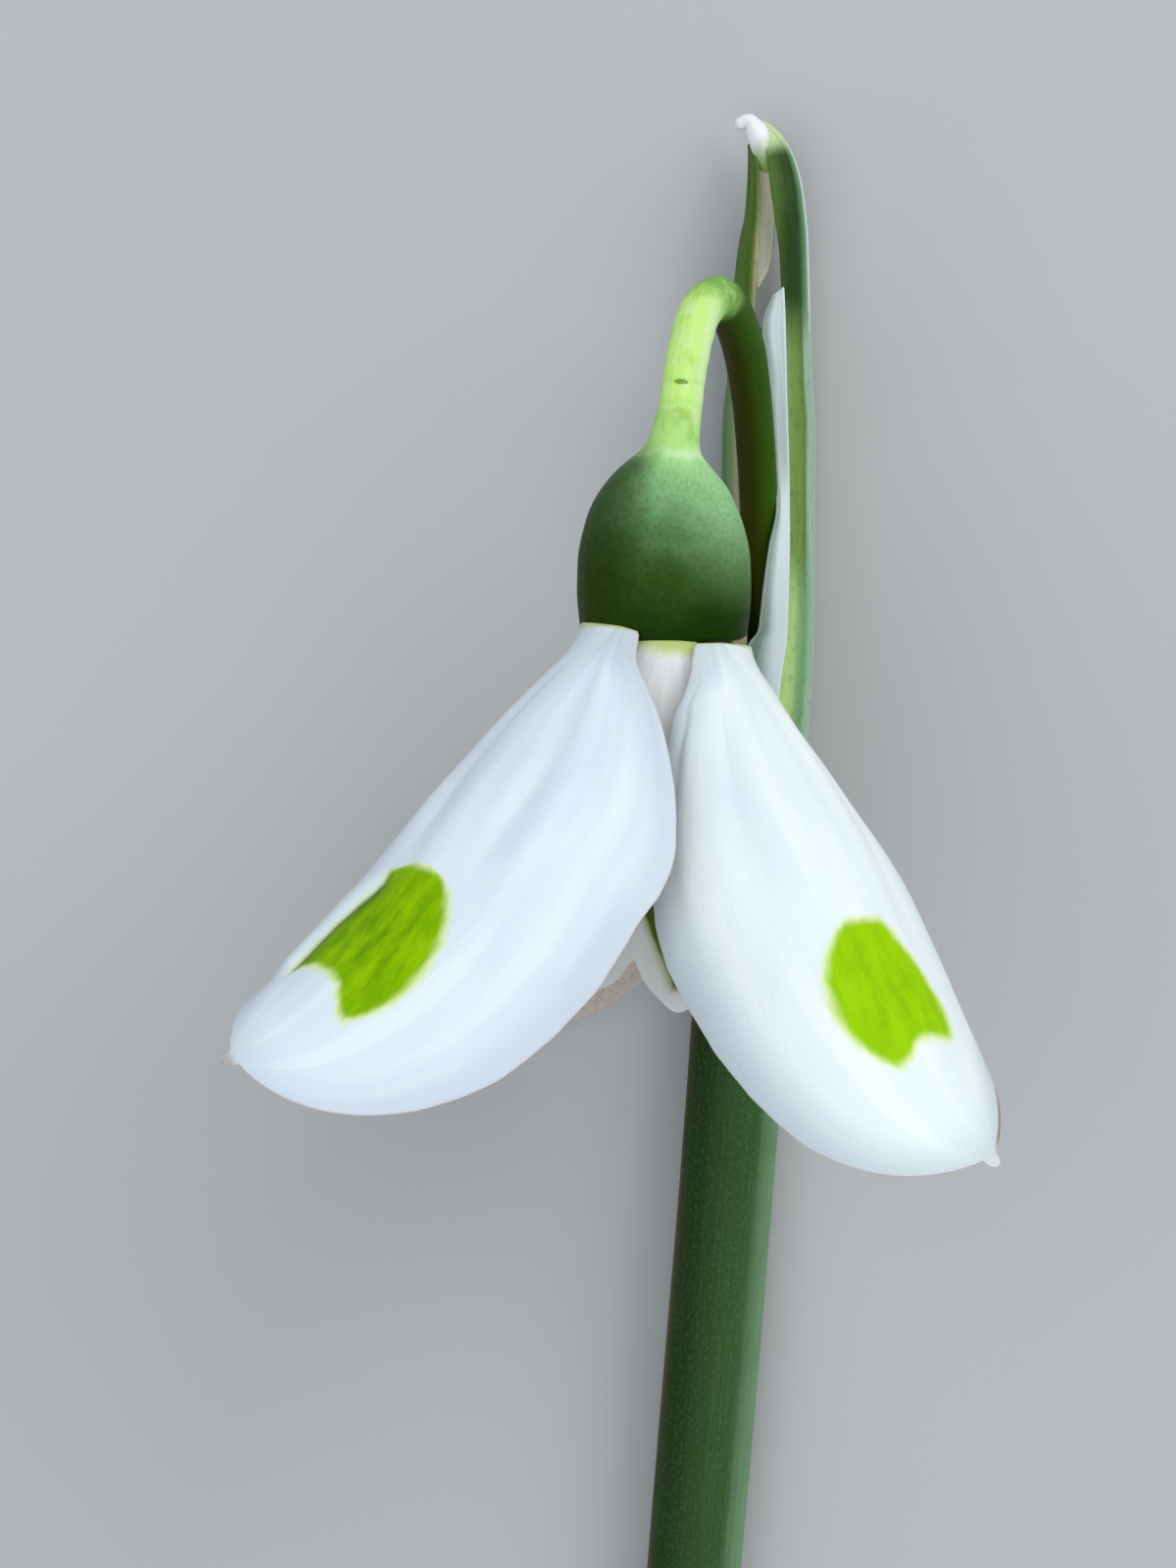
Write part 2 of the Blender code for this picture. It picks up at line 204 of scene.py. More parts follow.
def evenly(route: Array, shares: Array) -> Array:
    """Points on a route at the given shares of its length."""
    lengths = distances(route)
    return np.column_stack([np.interp(shares * lengths[-1], lengths, values) for values in route.T])


def distances(route: Array) -> Array:
    """How far along a route each of its points lies."""
    return np.concatenate([[0.0], np.cumsum(np.linalg.norm(np.diff(route, axis=0), axis=1))])


def pair(first: Array, second: Array) -> Array:
    """Two values for each point, as a coordinate layer holds them."""
    return np.stack(np.broadcast_arrays(first, second), axis=-1)


def ring_angles(columns: int) -> Array:
    """The angles of a ring's points, from -pi to pi, with the seam's angle at both ends."""
    return np.linspace(-math.pi, math.pi, columns + 1)


def ripple(value: Array, terms: Sequence[tuple[float, float, float]]) -> Array:
    """A sum of sine waves, each given by its height, its turns per unit and its phase in turns."""
    return sum(height * np.sin(math.tau * (turns * value + phase)) for height, turns, phase in terms)


# ---- where the flower lies


FLOWER_LEAN = math.radians(6.6)  # from -Y towards -X
FLOWER_DIP = math.radians(3.0)  # down towards the surface
STYLE_LENGTH = 8.6
STYLE_INSET = 0.02  # of the style's foot, above the base of the petals


@dataclass(frozen=True)
class Placement:
    """The flower's directions, and the way from the plant's own frame to the part's frame."""

    base: Array = field(default_factory=lambda: np.array([3.3, 6.3, 17.5]))  # where the petals start
    shift: Array = field(default_factory=lambda: np.zeros(3))

    @classmethod
    def from_frame(cls) -> Placement:
        """Finds the shift from where the style lies in the part's frame, along the flower's axis.

        Returns:
            The placement; the surface that the plant lies on is at height 0 in both frames.
        """
        plain = cls()
        low, high = (np.array(corner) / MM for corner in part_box("style"))
        foot = (low + high) / 2 - plain.axis * (STYLE_LENGTH / 2 - STYLE_INSET)
        shift = foot - plain.base
        shift[2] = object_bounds()[0][2] / MM
        return cls(shift=shift)

    @property
    def axis(self) -> Array:
        """The way that the flower opens."""
        level = math.cos(FLOWER_DIP)
        return np.array([-math.sin(FLOWER_LEAN) * level, -math.cos(FLOWER_LEAN) * level,
                         -math.sin(FLOWER_DIP)])

    @property
    def front(self) -> Array:
        """Square to the axis, on the side that is turned up."""
        return unit(UP - self.axis * (self.axis @ UP))

    @property
    def right(self) -> Array:
        """Square to the axis and the front."""
        return np.cross(self.front, self.axis)

    def outward(self, azimuth: Array | float) -> Array:
        """Directions away from the axis, at an angle in radians from the front towards the right."""
        azimuth = np.asarray(azimuth, float)[..., None]
        return np.sin(azimuth) * self.right + np.cos(azimuth) * self.front

    def metres(self, points: Array) -> Array:
        """Points of the plant's own frame in the part's frame."""
        return (np.asarray(points, float) + self.shift) * MM


# ---- meshes


RIM_ANGLES = np.radians([54.0, 18.0, -18.0, -54.0])  # of the loops that round a sheet's edge
CAP_ANGLES = np.radians([78.0, 62.0, 44.0, 22.0])  # of the rings that round a tube's end


def quads(index: Array) -> Array:
    """The faces between neighbouring rows and columns of a grid of vertex numbers."""
    corners = [index[:-1, :-1], index[:-1, 1:], index[1:, 1:], index[1:, :-1]]
    return np.stack(corners, axis=-1).reshape(-1, 4)


def add_piece(name: str, places: Array, faces: list, maps: dict[Map, Array], placement: Placement,
              vertex_of: Array | None = None, finish_of: Sequence[int] | None = None) -> bpy.types.Object:
    """Makes an object from points, faces and coordinate layers.

    Args:
        name: The piece's name.
        places: Vertices, in millimetres in the plant's own frame.
        faces: Faces, as numbers of mapped points.
        maps: The coordinate layers, one pair for each mapped point.
        placement: Where the flower lies.
        vertex_of: The vertex of each mapped point, where a seam gives some vertices two.
        finish_of: The material index of each face.

    Returns:
        The new object, linked to the scene.
    """
    corners = np.concatenate([np.array(face) for face in faces])
    if vertex_of is None:
        vertex_of = np.arange(len(places))
    mesh = bpy.data.meshes.new(name)
    mesh.from_pydata(placement.metres(places), [], [tuple(vertex_of[list(face)]) for face in faces])
    for layer, values in maps.items():
        uvs = mesh.uv_layers.new(name=layer.value).data
        uvs.foreach_set("uv", values[corners].astype(np.float32).ravel())
    if finish_of is not None:
        mesh.polygons.foreach_set("material_index", np.array(finish_of, np.int32))
    mesh.shade_smooth()
    mesh.update()
    piece = bpy.data.objects.new(name, mesh)
    bpy.context.scene.collection.objects.link(piece)
    return piece


@dataclass
class Sheet:
    """A thin closed sheet of tissue, given by a grid of points on its middle surface.

    Attributes:
        middle: The points, rows by columns by 3.
        outside: A direction on the outer face's side, for all the points or for each.
        thickness: Rows by columns.
        maps: Coordinate layers, rows by columns by 2; the EDGE layer's second value is filled in here.
    """

    middle: Array
    outside: Array
    thickness: Array
    maps: dict[Map, Array]

    def __post_init__(self) -> None:
        """Turns the grid so that its columns and rows, in that order, make the outer face's normal."""
        if np.mean(np.sum(self.normals() * self.outside, axis=-1)) < 0:
            self.middle = self.middle[:, ::-1]
            self.thickness = self.thickness[:, ::-1]
            self.maps = {layer: values[:, ::-1] for layer, values in self.maps.items()}

    def normals(self) -> Array:
        """The normal of the middle surface at each point."""
        return unit(np.cross(np.gradient(self.middle, axis=1), np.gradient(self.middle, axis=0)))

    def displace(self, height: Array) -> None:
        """Moves the middle surface outwards by a height for each point."""
        self.middle = self.middle + self.normals() * height[..., None]

    def edge_directions(self) -> Array:
        """Finds the way out of the sheet, within its surface, at each point of its edge.

        Returns:
            The directions, rows by columns by 3; they mean nothing away from the edge.
        """
        across = unit(np.gradient(self.middle, axis=1))
        along = unit(np.gradient(self.middle, axis=0))
        out = np.zeros_like(self.middle)
        out[0] -= along[0]
        out[-1] += along[-1]
        out[:, 0] -= across[:, 0]
        out[:, -1] += across[:, -1]
        normal = self.normals()
        return unit(out - normal * np.sum(out * normal, axis=-1, keepdims=True))

    def build(self, name: str, placement: Placement) -> bpy.types.Object:
        """Makes the sheet's object: two faces and a rounded rim.

        Args:
            name: The piece's name.
            placement: Where the flower lies.

        Returns:
            The object.
        """
        count = self.thickness.size
        grid = np.arange(count).reshape(self.thickness.shape)
        rim = np.concatenate([grid[0], grid[1:, -1], grid[-1, -2::-1], grid[-2:0:-1, 0]])
        half = (self.normals() * self.thickness[..., None] / 2).reshape(-1, 3)
        middle = self.middle.reshape(-1, 3)
        reach = self.edge_directions().reshape(-1, 3)[rim] * self.thickness.reshape(-1, 1)[rim] / 2
        loops = [middle[rim] + half[rim] * math.sin(angle) + reach * math.cos(angle)
                 for angle in RIM_ANGLES]
        places = np.vstack([middle + half, middle - half, *loops])

        around = 2 * count + np.arange(len(loops) * len(rim)).reshape(len(loops), len(rim))
        strips = np.array([np.append(ring, ring[0]) for ring in (rim, *around, rim + count)])
        faces = quads(grid).tolist() + quads(grid + count)[:, ::-1].tolist()
        faces += quads(strips)[:, ::-1].tolist()

        sides = [np.ones(count), np.zeros(count)]
        sides += [np.full(len(rim), 0.5 + 0.5 * math.sin(angle)) for angle in RIM_ANGLES]
        maps = {}
        for layer, values in self.maps.items():
            flat = values.reshape(-1, 2)
            maps[layer] = np.vstack([flat, flat, *[flat[rim]] * len(loops)])
        maps[Map.EDGE][:, 1] = np.concatenate(sides)
        return add_piece(name, places, faces, maps, placement)


@dataclass
class Tube:
    """A closed round body along a route.

    Attributes:
        route: The points of its axis, rows by 3.
        radii: The radius at each row and angle, rows by columns, or at each row.
        side: The direction of a quarter turn; angle 0 is a quarter turn before it, and -pi is the seam.
        columns: Points round each ring.
        caps: How round the two ends are: 0 is flat, 1 is half a ball.
        cut: Whether the first end's cap takes the second material.
    """

    route: Array
    radii: Array
    side: Array
    columns: int
    caps: tuple[float, float] = (0.5, 0.5)
    cut: bool = False

    def build(self, name: str, placement: Placement) -> bpy.types.Object:
        """Makes the tube's object, with its PLACE and SHARE layers.

        Args:
            name: The piece's name.
            placement: Where the flower lies.

        Returns:
            The object.
        """
        heading = unit(np.gradient(self.route, axis=0))
        side = unit(self.side - heading * (heading @ self.side)[:, None])
        front = np.cross(side, heading)
        angles = ring_angles(self.columns)
        radii = self.radii if self.radii.ndim == 2 else np.repeat(self.radii[:, None], len(angles), axis=1)
        along = distances(self.route)

        rings = [(row, 1.0, 0.0) for row in range(len(self.route))]
        rings = (
            [(0, math.cos(a), -math.sin(a) * self.caps[0]) for a in CAP_ANGLES] + rings
            + [(len(self.route) - 1, math.cos(a), math.sin(a) * self.caps[1]) for a in CAP_ANGLES[::-1]]
        )
        rows, shrink, push = (np.array(values) for values in zip(*rings))
        size = radii[rows] * shrink[:, None]
        centres = self.route[rows] + heading[rows] * (push * radii[rows].mean(axis=1))[:, None]
        sine, cosine = np.sin(angles)[:, None], np.cos(angles)[:, None]
        turned = sine * side[rows][:, None] + cosine * front[rows][:, None]
        places = centres[:, None] + turned * size[..., None]

        grid = np.arange(places.shape[0] * places.shape[1]).reshape(places.shape[:2])
        vertex_of = grid.copy()
        vertex_of[:, -1] = grid[:, 0]
        ends = [self.route[0] - heading[0] * radii[0].mean() * self.caps[0],
                self.route[-1] + heading[-1] * radii[-1].mean() * self.caps[1]]
        first, last = grid.size, grid.size + 1
        faces = quads(grid).tolist()
        faces += [[first, b, a] for a, b in zip(grid[0, :-1], grid[0, 1:])]
        faces += [[last, a, b] for a, b in zip(grid[-1, :-1], grid[-1, 1:])]
        finish_of = np.zeros(len(faces), int)
        if self.cut:
            finish_of[: len(CAP_ANGLES) * self.columns] = 1
            finish_of[len(faces) - 2 * self.columns: len(faces) - self.columns] = 1

        reach = np.broadcast_to((along[rows] + push * radii[rows].mean(axis=1))[:, None], grid.shape)
        turn = np.broadcast_to(angles, grid.shape)
        layers = {
            Map.PLACE: pair(turn, reach),
            Map.SHARE: pair(turn / math.pi, reach / along[-1]),
            Map.EDGE: pair(size, np.ones(grid.shape)),
        }
        maps = {layer: np.vstack([values.reshape(-1, 2), values[0, :1], values[-1, :1]])
                for layer, values in layers.items()}
        maps[Map.EDGE][-2:, 0] = 0.0
        everything = np.vstack([places.reshape(-1, 3), *[end[None] for end in ends]])
        numbers = np.append(vertex_of.ravel(), [first, last])
        used, compact = np.unique(numbers, return_inverse=True)
        return add_piece(name, everything[used], faces, maps, placement, compact, finish_of)


def install(piece: bpy.types.Object, finishes: Sequence[bpy.types.Material],
            replaced: Sequence[str] = ()) -> None:
    """Dresses a piece and fixes it to the plant.

    Args:
        piece: The piece.
        finishes: Its materials, in the order of its faces' indices.
        replaced: The nodes of the part that it stands for.
    """
    for finish in finishes:
        piece.data.materials.append(finish)
    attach(piece, BODY)
    if replaced:
        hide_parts(*replaced)
    stands_for = ", ".join(replaced) or "itself"
    LOG.info("%s: %d faces, stands for %s", piece.name, len(piece.data.polygons), stands_for)


# ---- finishes


class Signal:
    """What a material's node gives, with the arithmetic and the mixing that the finishes use."""

    def __init__(self, graph: Graph, socket: bpy.types.NodeSocket) -> None:
        """Wraps a node's output."""
        self.graph = graph
        self.socket = socket

    def __add__(self, other: Value) -> Signal:
        """The sum of the two."""
        return self.graph.math("ADD", self, other)

    def __sub__(self, other: Value) -> Signal:
        """This less the other."""
        return self.graph.math("SUBTRACT", self, other)

    def __rsub__(self, other: Value) -> Signal:
        """The other less this."""
        return self.graph.math("SUBTRACT", other, self)

    def __mul__(self, other: Value) -> Signal:
        """The product of the two."""
        return self.graph.math("MULTIPLY", self, other)

    def __abs__(self) -> Signal:
        """The value without its sign."""
        return self.graph.math("ABSOLUTE", self)

    def sine(self) -> Signal:
        """The sine of an angle in radians."""
        return self.graph.math("SINE", self)

    def cosine(self) -> Signal:
        """The cosine of an angle in radians."""
        return self.graph.math("COSINE", self)

    def at_least(self, other: Value) -> Signal:
        """The greater of the two."""
        return self.graph.math("MAXIMUM", self, other)

    def at_most(self, other: Value) -> Signal:
        """The smaller of the two."""
        return self.graph.math("MINIMUM", self, other)

    def rise(self, low: Value, high: Value, floor: float = 0.0, top: float = 1.0) -> Signal:
        """A smooth rise from floor, where this is low, to top, where it is high."""
        inputs = {"Value": self, "From Min": low, "From Max": high, "To Min": floor, "To Max": top}
        return self.graph.signal("MapRange", inputs, interpolation_type="SMOOTHSTEP")

    def coat(self, tint: Signal | Colour, share: Value, blend: str = "MIX") -> Signal:
        """This colour with another laid over it by the given share."""
        return self.graph.mix(self, tint, share, blend)


Value = Signal | float


class Graph:
    """One material's nodes, and short ways to add and join them."""

    def __init__(self, name: str) -> None:
        """Starts an empty node material.

        Args:
            name: The material's name.
        """
        self.material = bpy.data.materials.new(name)
        self.material.use_nodes = True
        self.nodes = self.material.node_tree.nodes
        self.links = self.material.node_tree.links
        self.nodes.clear()

    def feed(self, socket: bpy.types.NodeSocket, value: Value | Sequence[float]) -> None:
        """Joins a socket to a signal or sets its own value.

        Args:
            socket: A node's input.
            value: The signal, or a number, colour or vector.
        """
        if isinstance(value, Signal):
            self.links.new(value.socket, socket)
        elif isinstance(value, tuple) and len(socket.default_value) == 4:
            socket.default_value = (*value, 1.0)
        else:
            socket.default_value = value

    def node(self, kind: str, inputs: dict | None = None, **settings: object) -> bpy.types.Node:
        """Adds a node.

        Args:
            kind: The node's type, without the ShaderNode in front.
            inputs: Values or signals for its inputs, by name or number.
            settings: The node's own settings.

        Returns:
            The node.
        """
        node = self.nodes.new("ShaderNode" + kind)
        for name, value in settings.items():
            setattr(node, name, value)
        for key, value in (inputs or {}).items():
            self.feed(node.inputs[key], value)
        return node

    def signal(self, kind: str, inputs: dict | None = None, output: int | str = 0,
               **settings: object) -> Signal:
        """Adds a node and gives one of its outputs."""
        return Signal(self, self.node(kind, inputs, **settings).outputs[output])

    def math(self, operation: str, *values: Value) -> Signal:
        """The result of a Math node."""
        return self.signal("Math", dict(enumerate(values)), operation=operation)

    def mix(self, first: Signal | Colour, second: Signal | Colour, share: Value,
            blend: str = "MIX") -> Signal:
        """A mix of two colours, the second by the given share."""
        return self.signal("Mix", {0: share, 6: first, 7: second}, 2, data_type="RGBA", blend_type=blend)

    def layer(self, layer: Map) -> tuple[Signal, Signal]:
        """The two values of one of the mesh's coordinate layers."""
        split = self.node("SeparateXYZ", {0: self.signal("UVMap", uv_map=layer.value)})
        return Signal(self, split.outputs[0]), Signal(self, split.outputs[1])

    def vector(self, x: Value, y: Value, z: Value = 0.0) -> Signal:
        """A vector from three values."""
        return self.signal("CombineXYZ", {0: x, 1: y, 2: z})

    def noise(self, vector: Signal, detail: float = 2.0, roughness: float = 0.5) -> Signal:
        """Smooth noise of about one wave per unit of the vector, from 0 to 1."""
        inputs = {"Vector": vector, "Scale": 1.0, "Detail": detail, "Roughness": roughness}
        return self.signal("TexNoise", inputs)

    def grain(self, across: Signal, along: Signal, scale: tuple[float, float], detail: float = 2.0,
              roughness: float = 0.5, seed: float = 0.0) -> Signal:
        """Smooth noise over two coordinates, with scale waves to a unit of each."""
        return self.noise(self.vector(across * scale[0], along * scale[1], seed), detail, roughness)

    def ring_grain(self, turn: Signal, along: Signal, scale: tuple[float, float], detail: float = 2.0,
                   roughness: float = 0.5) -> Signal:
        """Smooth noise round and along a tube, without a seam, stretched by scale."""
        x, y = turn.cosine() * scale[0], turn.sine() * scale[0]
        return self.noise(self.vector(x, y, along * scale[1]), detail, roughness)

    def cells(self, vector: Signal) -> Signal:
        """The distance to the nearest of a set of scattered points, about one per unit."""
        return self.signal("TexVoronoi", {"Vector": vector, "Scale": 1.0}, "Distance")

    def ramp(self, value: Signal, stops: Sequence[tuple[float, Colour]]) -> Signal:
        """A colour that goes smoothly through the given stops.

        Args:
            value: Where to read it.
            stops: Three or more places and their colours.

        Returns:
            The colour.
        """
        node = self.node("ValToRGB", {0: value})
        node.color_ramp.interpolation = "B_SPLINE"
        elements = node.color_ramp.elements
        while len(elements) < len(stops):
            elements.new(0.5)
        for element, (place, shade) in zip(elements, stops):
            element.position = place
            element.color = (*shade, 1.0)
        return Signal(self, node.outputs[0])

    def curve(self, value: Signal, pairs: Pairs) -> Signal:
        """Reads a smooth curve through (place, value) pairs.

        Args:
            value: Where to read it; outside the places it keeps its end values.
            pairs: The curve's points, in rising places.

        Returns:
            The curve's value.
        """
        places, heights = (np.array(part, float) for part in zip(*pairs))
        low, span = float(heights.min()), float(np.ptp(heights))
        inputs = {"Value": value, "From Min": places[0], "From Max": places[-1]}
        node = self.node("FloatCurve", {"Factor": 1.0, "Value": self.signal("MapRange", inputs, clamp=True)})
        points = node.mapping.curves[0].points
        while len(points) < len(pairs):
            points.new(0.5, 0.5)
        spots = zip((places - places[0]) / (places[-1] - places[0]), (heights - low) / span)
        for point, spot in zip(points, spots):
            point.location = spot
        node.mapping.update()
        return Signal(self, node.outputs[0]) * span + low

    def bump(self, height: Signal, depth: float, under: Signal | None = None) -> Signal:
        """A normal for small relief, its depth in millimetres, over the normal under it."""
        inputs = {"Height": height, "Distance": depth * MM, "Strength": 1.0}
        return self.signal("Bump", inputs if under is None else {**inputs, "Normal": under})

    def finish(self, surface: Signal) -> bpy.types.Material:
        """Joins the surface to the material's output and returns the material."""
        self.node("OutputMaterial", {"Surface": surface})
        return self.material

    def tissue(self, base: Signal, roughness: Value, normal: Signal, glow: float = 0.0,
               depth: float = 0.5, gloss: float = 0.25) -> Signal:
        """The surface of living tissue.

        Args:
            base: Its colour.
            roughness: How matt it is.
            normal: Its relief.
            glow: The share of light that goes into it and comes out near by.
            depth: How far that light goes, in millimetres.
            gloss: How strongly its surface shines.

        Returns:
            The shader's output.
        """
        return self.signal("BsdfPrincipled", {
            "Base Color": base, "Roughness": roughness, "Normal": normal, "Subsurface Weight": glow,
            "Subsurface Radius": (1.0, 1.0, 0.8), "Subsurface Scale": depth * MM, "IOR": 1.4,
            "Specular IOR Level": gloss,
        })


@dataclass(frozen=True)
class Mark:
    """The green mark near the tip of an outer petal, in millimetres across and along the petal."""

    near: Pairs = (
        (14.5, -1.6), (15.4, -0.2), (15.9, 1.4), (16.8, 2.1), (17.8, 2.6), (18.8, 2.8), (19.8, 2.75),
        (20.8, 2.6), (21.5, 2.35), (22.0, 2.05), (22.6, 1.5),
    )
    far: Pairs = (
        (14.5, -1.6), (15.4, -0.2), (15.9, 0.7), (16.7, 1.3), (17.5, 1.75), (18.5, 2.2), (19.6, 2.4),
        (20.6, 2.5), (22.0, 2.4), (22.9, 2.2),
    )
    end: Pairs = (
        (-3.2, 21.7), (-2.5, 21.65), (-1.5, 21.3), (-0.6, 21.3), (0.0, 21.5), (0.7, 22.1), (1.3, 22.55),
        (3.2, 22.6),
    )
    start: float = 15.15
    aside: float = 0.0  # how far its middle lies from the midrib, towards the near edge

    def distance(self, graph: Graph, across: Signal, along: Signal) -> Signal:
        """How far inside the mark's outline a point lies.

        Args:
            graph: The material's nodes.
            across: Millimetres from the midrib, near side positive.
            along: Millimetres from the claw.

        Returns:
            The distance in millimetres, below 0 outside the mark.
        """
        across = across - self.aside
        is_near = graph.math("GREATER_THAN", across, 0.0)
        width = is_near * graph.curve(along, self.near) + (1.0 - is_near) * graph.curve(along, self.far)
        inside = (width - abs(across)).at_most(along - self.start)
        return inside.at_most(graph.curve(across, self.end) - along)


@dataclass(frozen=True)
class OuterPetalFinish:
    """White tissue with faint lengthwise veins, a green mark, a drier beak at the tip and painted shade at
    the margins and crease.
    """

    light: Colour = colour(236, 246, 254)
    shade: Colour = colour(218, 228, 242)
    inner: Colour = colour(232, 228, 226)
    lining: Colour = colour(216, 212, 210)  # of the darker mottling on the inner face
    # painted shade: how dark the blade gets towards its free edges
    margin: Colour = colour(190, 202, 214)
    claw: Colour = colour(205, 216, 140)
    beak: Colour = colour(176, 168, 156)
    edge: Colour = colour(226, 200, 196)
    rust: Colour = colour(150, 106, 68)
    rust_side: float = 0.0  # +1 or -1 where the near or far rim has dried near the tip
    mark: Mark = Mark()
    mark_light: Colour = colour(164, 216, 0)
    mark_dark: Colour = colour(142, 196, 0)
    fringe: Colour = colour(222, 240, 130)
    # painted shade in the crease and in a dark line along it
    crease: Colour = colour(28, 48, 12)

    def blade(self, graph: Graph, length: float) -> Signal:
        """The blade's colour without the mark.

        Args:
            graph: The material's nodes.
            length: The petal's length.

        Returns:
            The colour.
        """
        across, along = graph.layer(Map.PLACE)
        share, _ = graph.layer(Map.SHARE)
        edge, side = graph.layer(Map.EDGE)
        veins = graph.grain(share, along, (5.0, 0.07), 2.0, 0.4).rise(0.3, 0.7)
        plain = along.rise(length * 0.5, length * 0.75, 0.0, 0.5)
        body = graph.mix(self.shade, self.light, veins.at_least(plain))
        clouds = graph.grain(across, along, (0.45, 0.22), seed=5.0)
        body = body.coat(self.light, clouds.rise(0.35, 0.75, 0.0, 0.35))
        # painted shade towards the free edges
        body = body.coat(self.margin, edge.rise(2.8, 0.0, 0.0, 0.5))
        inner_mottle = graph.grain(across, along, (3.5, 2.5), 3.0, 0.7, seed=11.0)
        lining = graph.mix(self.inner, self.lining, inner_mottle.rise(0.35, 0.7, 0.0, 0.5))
        body = body.coat(lining, side.rise(0.6, 0.3))
        body = body.coat(self.claw, along.rise(0.5, 0.12, 0.0, 0.75))
        wander = graph.grain(along, across, (1.4, 1.4), 1.0, seed=9.0)
        body = body.coat(self.edge, edge.rise(wander * 0.16 + 0.04, 0.0, 0.0, 0.38))
        dried = edge.rise(0.3, 0.12) * along.rise(length - 4.6, length - 3.4)
        body = body.coat(self.rust, dried * (across * self.rust_side).rise(0.2, 1.2, 0.0, 0.85))
        return body.coat(self.beak, along.rise(length - 0.6, length - 0.2) * 0.8)

    def add_mark(self, graph: Graph, body: Signal) -> Signal:
        """The blade's colour with the mark, and painted shade along the crease through it, laid over it.

        Args:
            graph: The material's nodes.
            body: The blade's colour.

        Returns:
            The colour.
        """
        across, along = graph.layer(Map.PLACE)
        _, side = graph.layer(Map.EDGE)
        past, crease_depth = graph.layer(Map.FOLD)
        wobble = graph.grain(across, along, (2.2, 1.1), 3.0, seed=3.0)
        inside = self.mark.distance(graph, across, along).at_most(past * -1.0 + 0.1)
        inside = inside + (wobble - 0.5) * 0.4
        strands = graph.grain(across, along, (1.7, 0.5), 3.0, 0.6, seed=1.0)
        green = graph.mix(self.mark_dark, self.mark_light, strands.rise(0.3, 0.72))
        green = green.coat(self.mark_light, inside.rise(1.6, 0.7, 0.0, 0.35))
        # painted shade: a soft dark band beside the crease
        green = green.coat(self.crease, past.rise(-1.3, -0.1, 0.0, 0.6) * crease_depth)
        outer_face = side.rise(0.25, 0.75, 0.25, 1.0)
        body = body.coat(self.fringe, inside.rise(-0.45, 0.1, 0.0, 0.8) * outer_face)
        body = body.coat(green, inside.rise(-0.16, 0.34) * outer_face)
        # painted shade: a dark line along the crease
        crease_shade_line = abs(past).rise(0.34, 0.0) * crease_depth * inside.rise(-0.5, 0.1) * side.rise(0.4, 0.8)
        return body.coat(self.crease, crease_shade_line * 0.9)

    def material(self, name: str, length: float) -> bpy.types.Material:
        """The finish as a node material.

        Args:
            name: The material's name.
            length: The petal's length.

        Returns:
            The material.
        """
        graph = Graph(name)
        across, along = graph.layer(Map.PLACE)
        share, _ = graph.layer(Map.SHARE)
        body = self.add_mark(graph, self.blade(graph, length))
        pores = graph.grain(across, along, (7.0, 2.2), 2.0, 0.6, seed=7.0)
        fibres = graph.grain(share, along, (34.0, 0.35), seed=2.0) * along.rise(length - 3.0, length - 9.0)
        relief = graph.bump(fibres, 0.012, graph.bump(pores, 0.014))
        rough = pores.rise(0.2, 0.8, 0.42, 0.56)
        return graph.finish(graph.tissue(body, rough, relief, 0.22, 0.4, 0.08))


@dataclass(frozen=True)
class InnerPetalFinish:
    """Greyer white tissue with a green collar and a green chevron round the notch."""

    name: str
    length: float
    white: Colour = colour(252, 253, 252)
    shade: Colour = colour(238, 240, 238)
    collar: Colour = colour(196, 214, 130)
    green: Colour = colour(78, 102, 2)
    fringe: Colour = colour(166, 182, 104)
    stripe: Colour = colour(120, 160, 60)
    apex: float = 10.35  # distance from the base to the chevron's point
    spread: float = 0.5  # how fast its limbs part, per millimetre of length
    limb: float = 0.3  # half the width of a limb

    def material(self) -> bpy.types.Material:
        """The finish as a node material.

        Returns:
            The material.
        """
        graph = Graph(self.name)
        across, along = graph.layer(Map.PLACE)
        share, _ = graph.layer(Map.SHARE)
        _, side = graph.layer(Map.EDGE)
        veins = graph.grain(share, along, (5.0, 0.1))
        body = graph.mix(self.shade, self.white, veins.rise(0.3, 0.7))
        wander = (graph.grain(across, along, (1.0, 1.0)) - 0.5) * 0.7
        body = body.coat(self.collar, (along + wander).rise(0.95, 0.15))

        limb = ((along - self.apex) * self.spread).at_least(-1.0).at_most(1.9)
        off = abs(abs(across) - limb) + wander * 0.35
        window = along.rise(self.apex - 0.2, self.apex + 0.3) * side.rise(0.25, 0.75)
        window = window * along.rise(self.length - 0.1, self.length - 0.7)
        body = body.coat(self.fringe, off.rise(self.limb + 0.5, self.limb) * window * 0.7)
        body = body.coat(self.green, off.rise(self.limb + 0.12, self.limb - 0.12) * window)

        lines = (across * 7.4).cosine().rise(0.0, 0.9) * side.rise(0.6, 0.3) * abs(share).rise(0.85, 0.6)
        body = body.coat(self.stripe, lines * along.rise(2.0, 5.0))

        pores = graph.grain(across, along, (7.0, 2.5), 2.0, 0.6, seed=4.0)
        ribs = graph.grain(share, along, (20.0, 0.3), 1.0, seed=2.0)
        relief = graph.bump(ribs, 0.02, graph.bump(pores, 0.015))
        rough = pores.rise(0.2, 0.8, 0.42, 0.58)
        return graph.finish(graph.tissue(body, rough, relief, 0.35, 0.6))


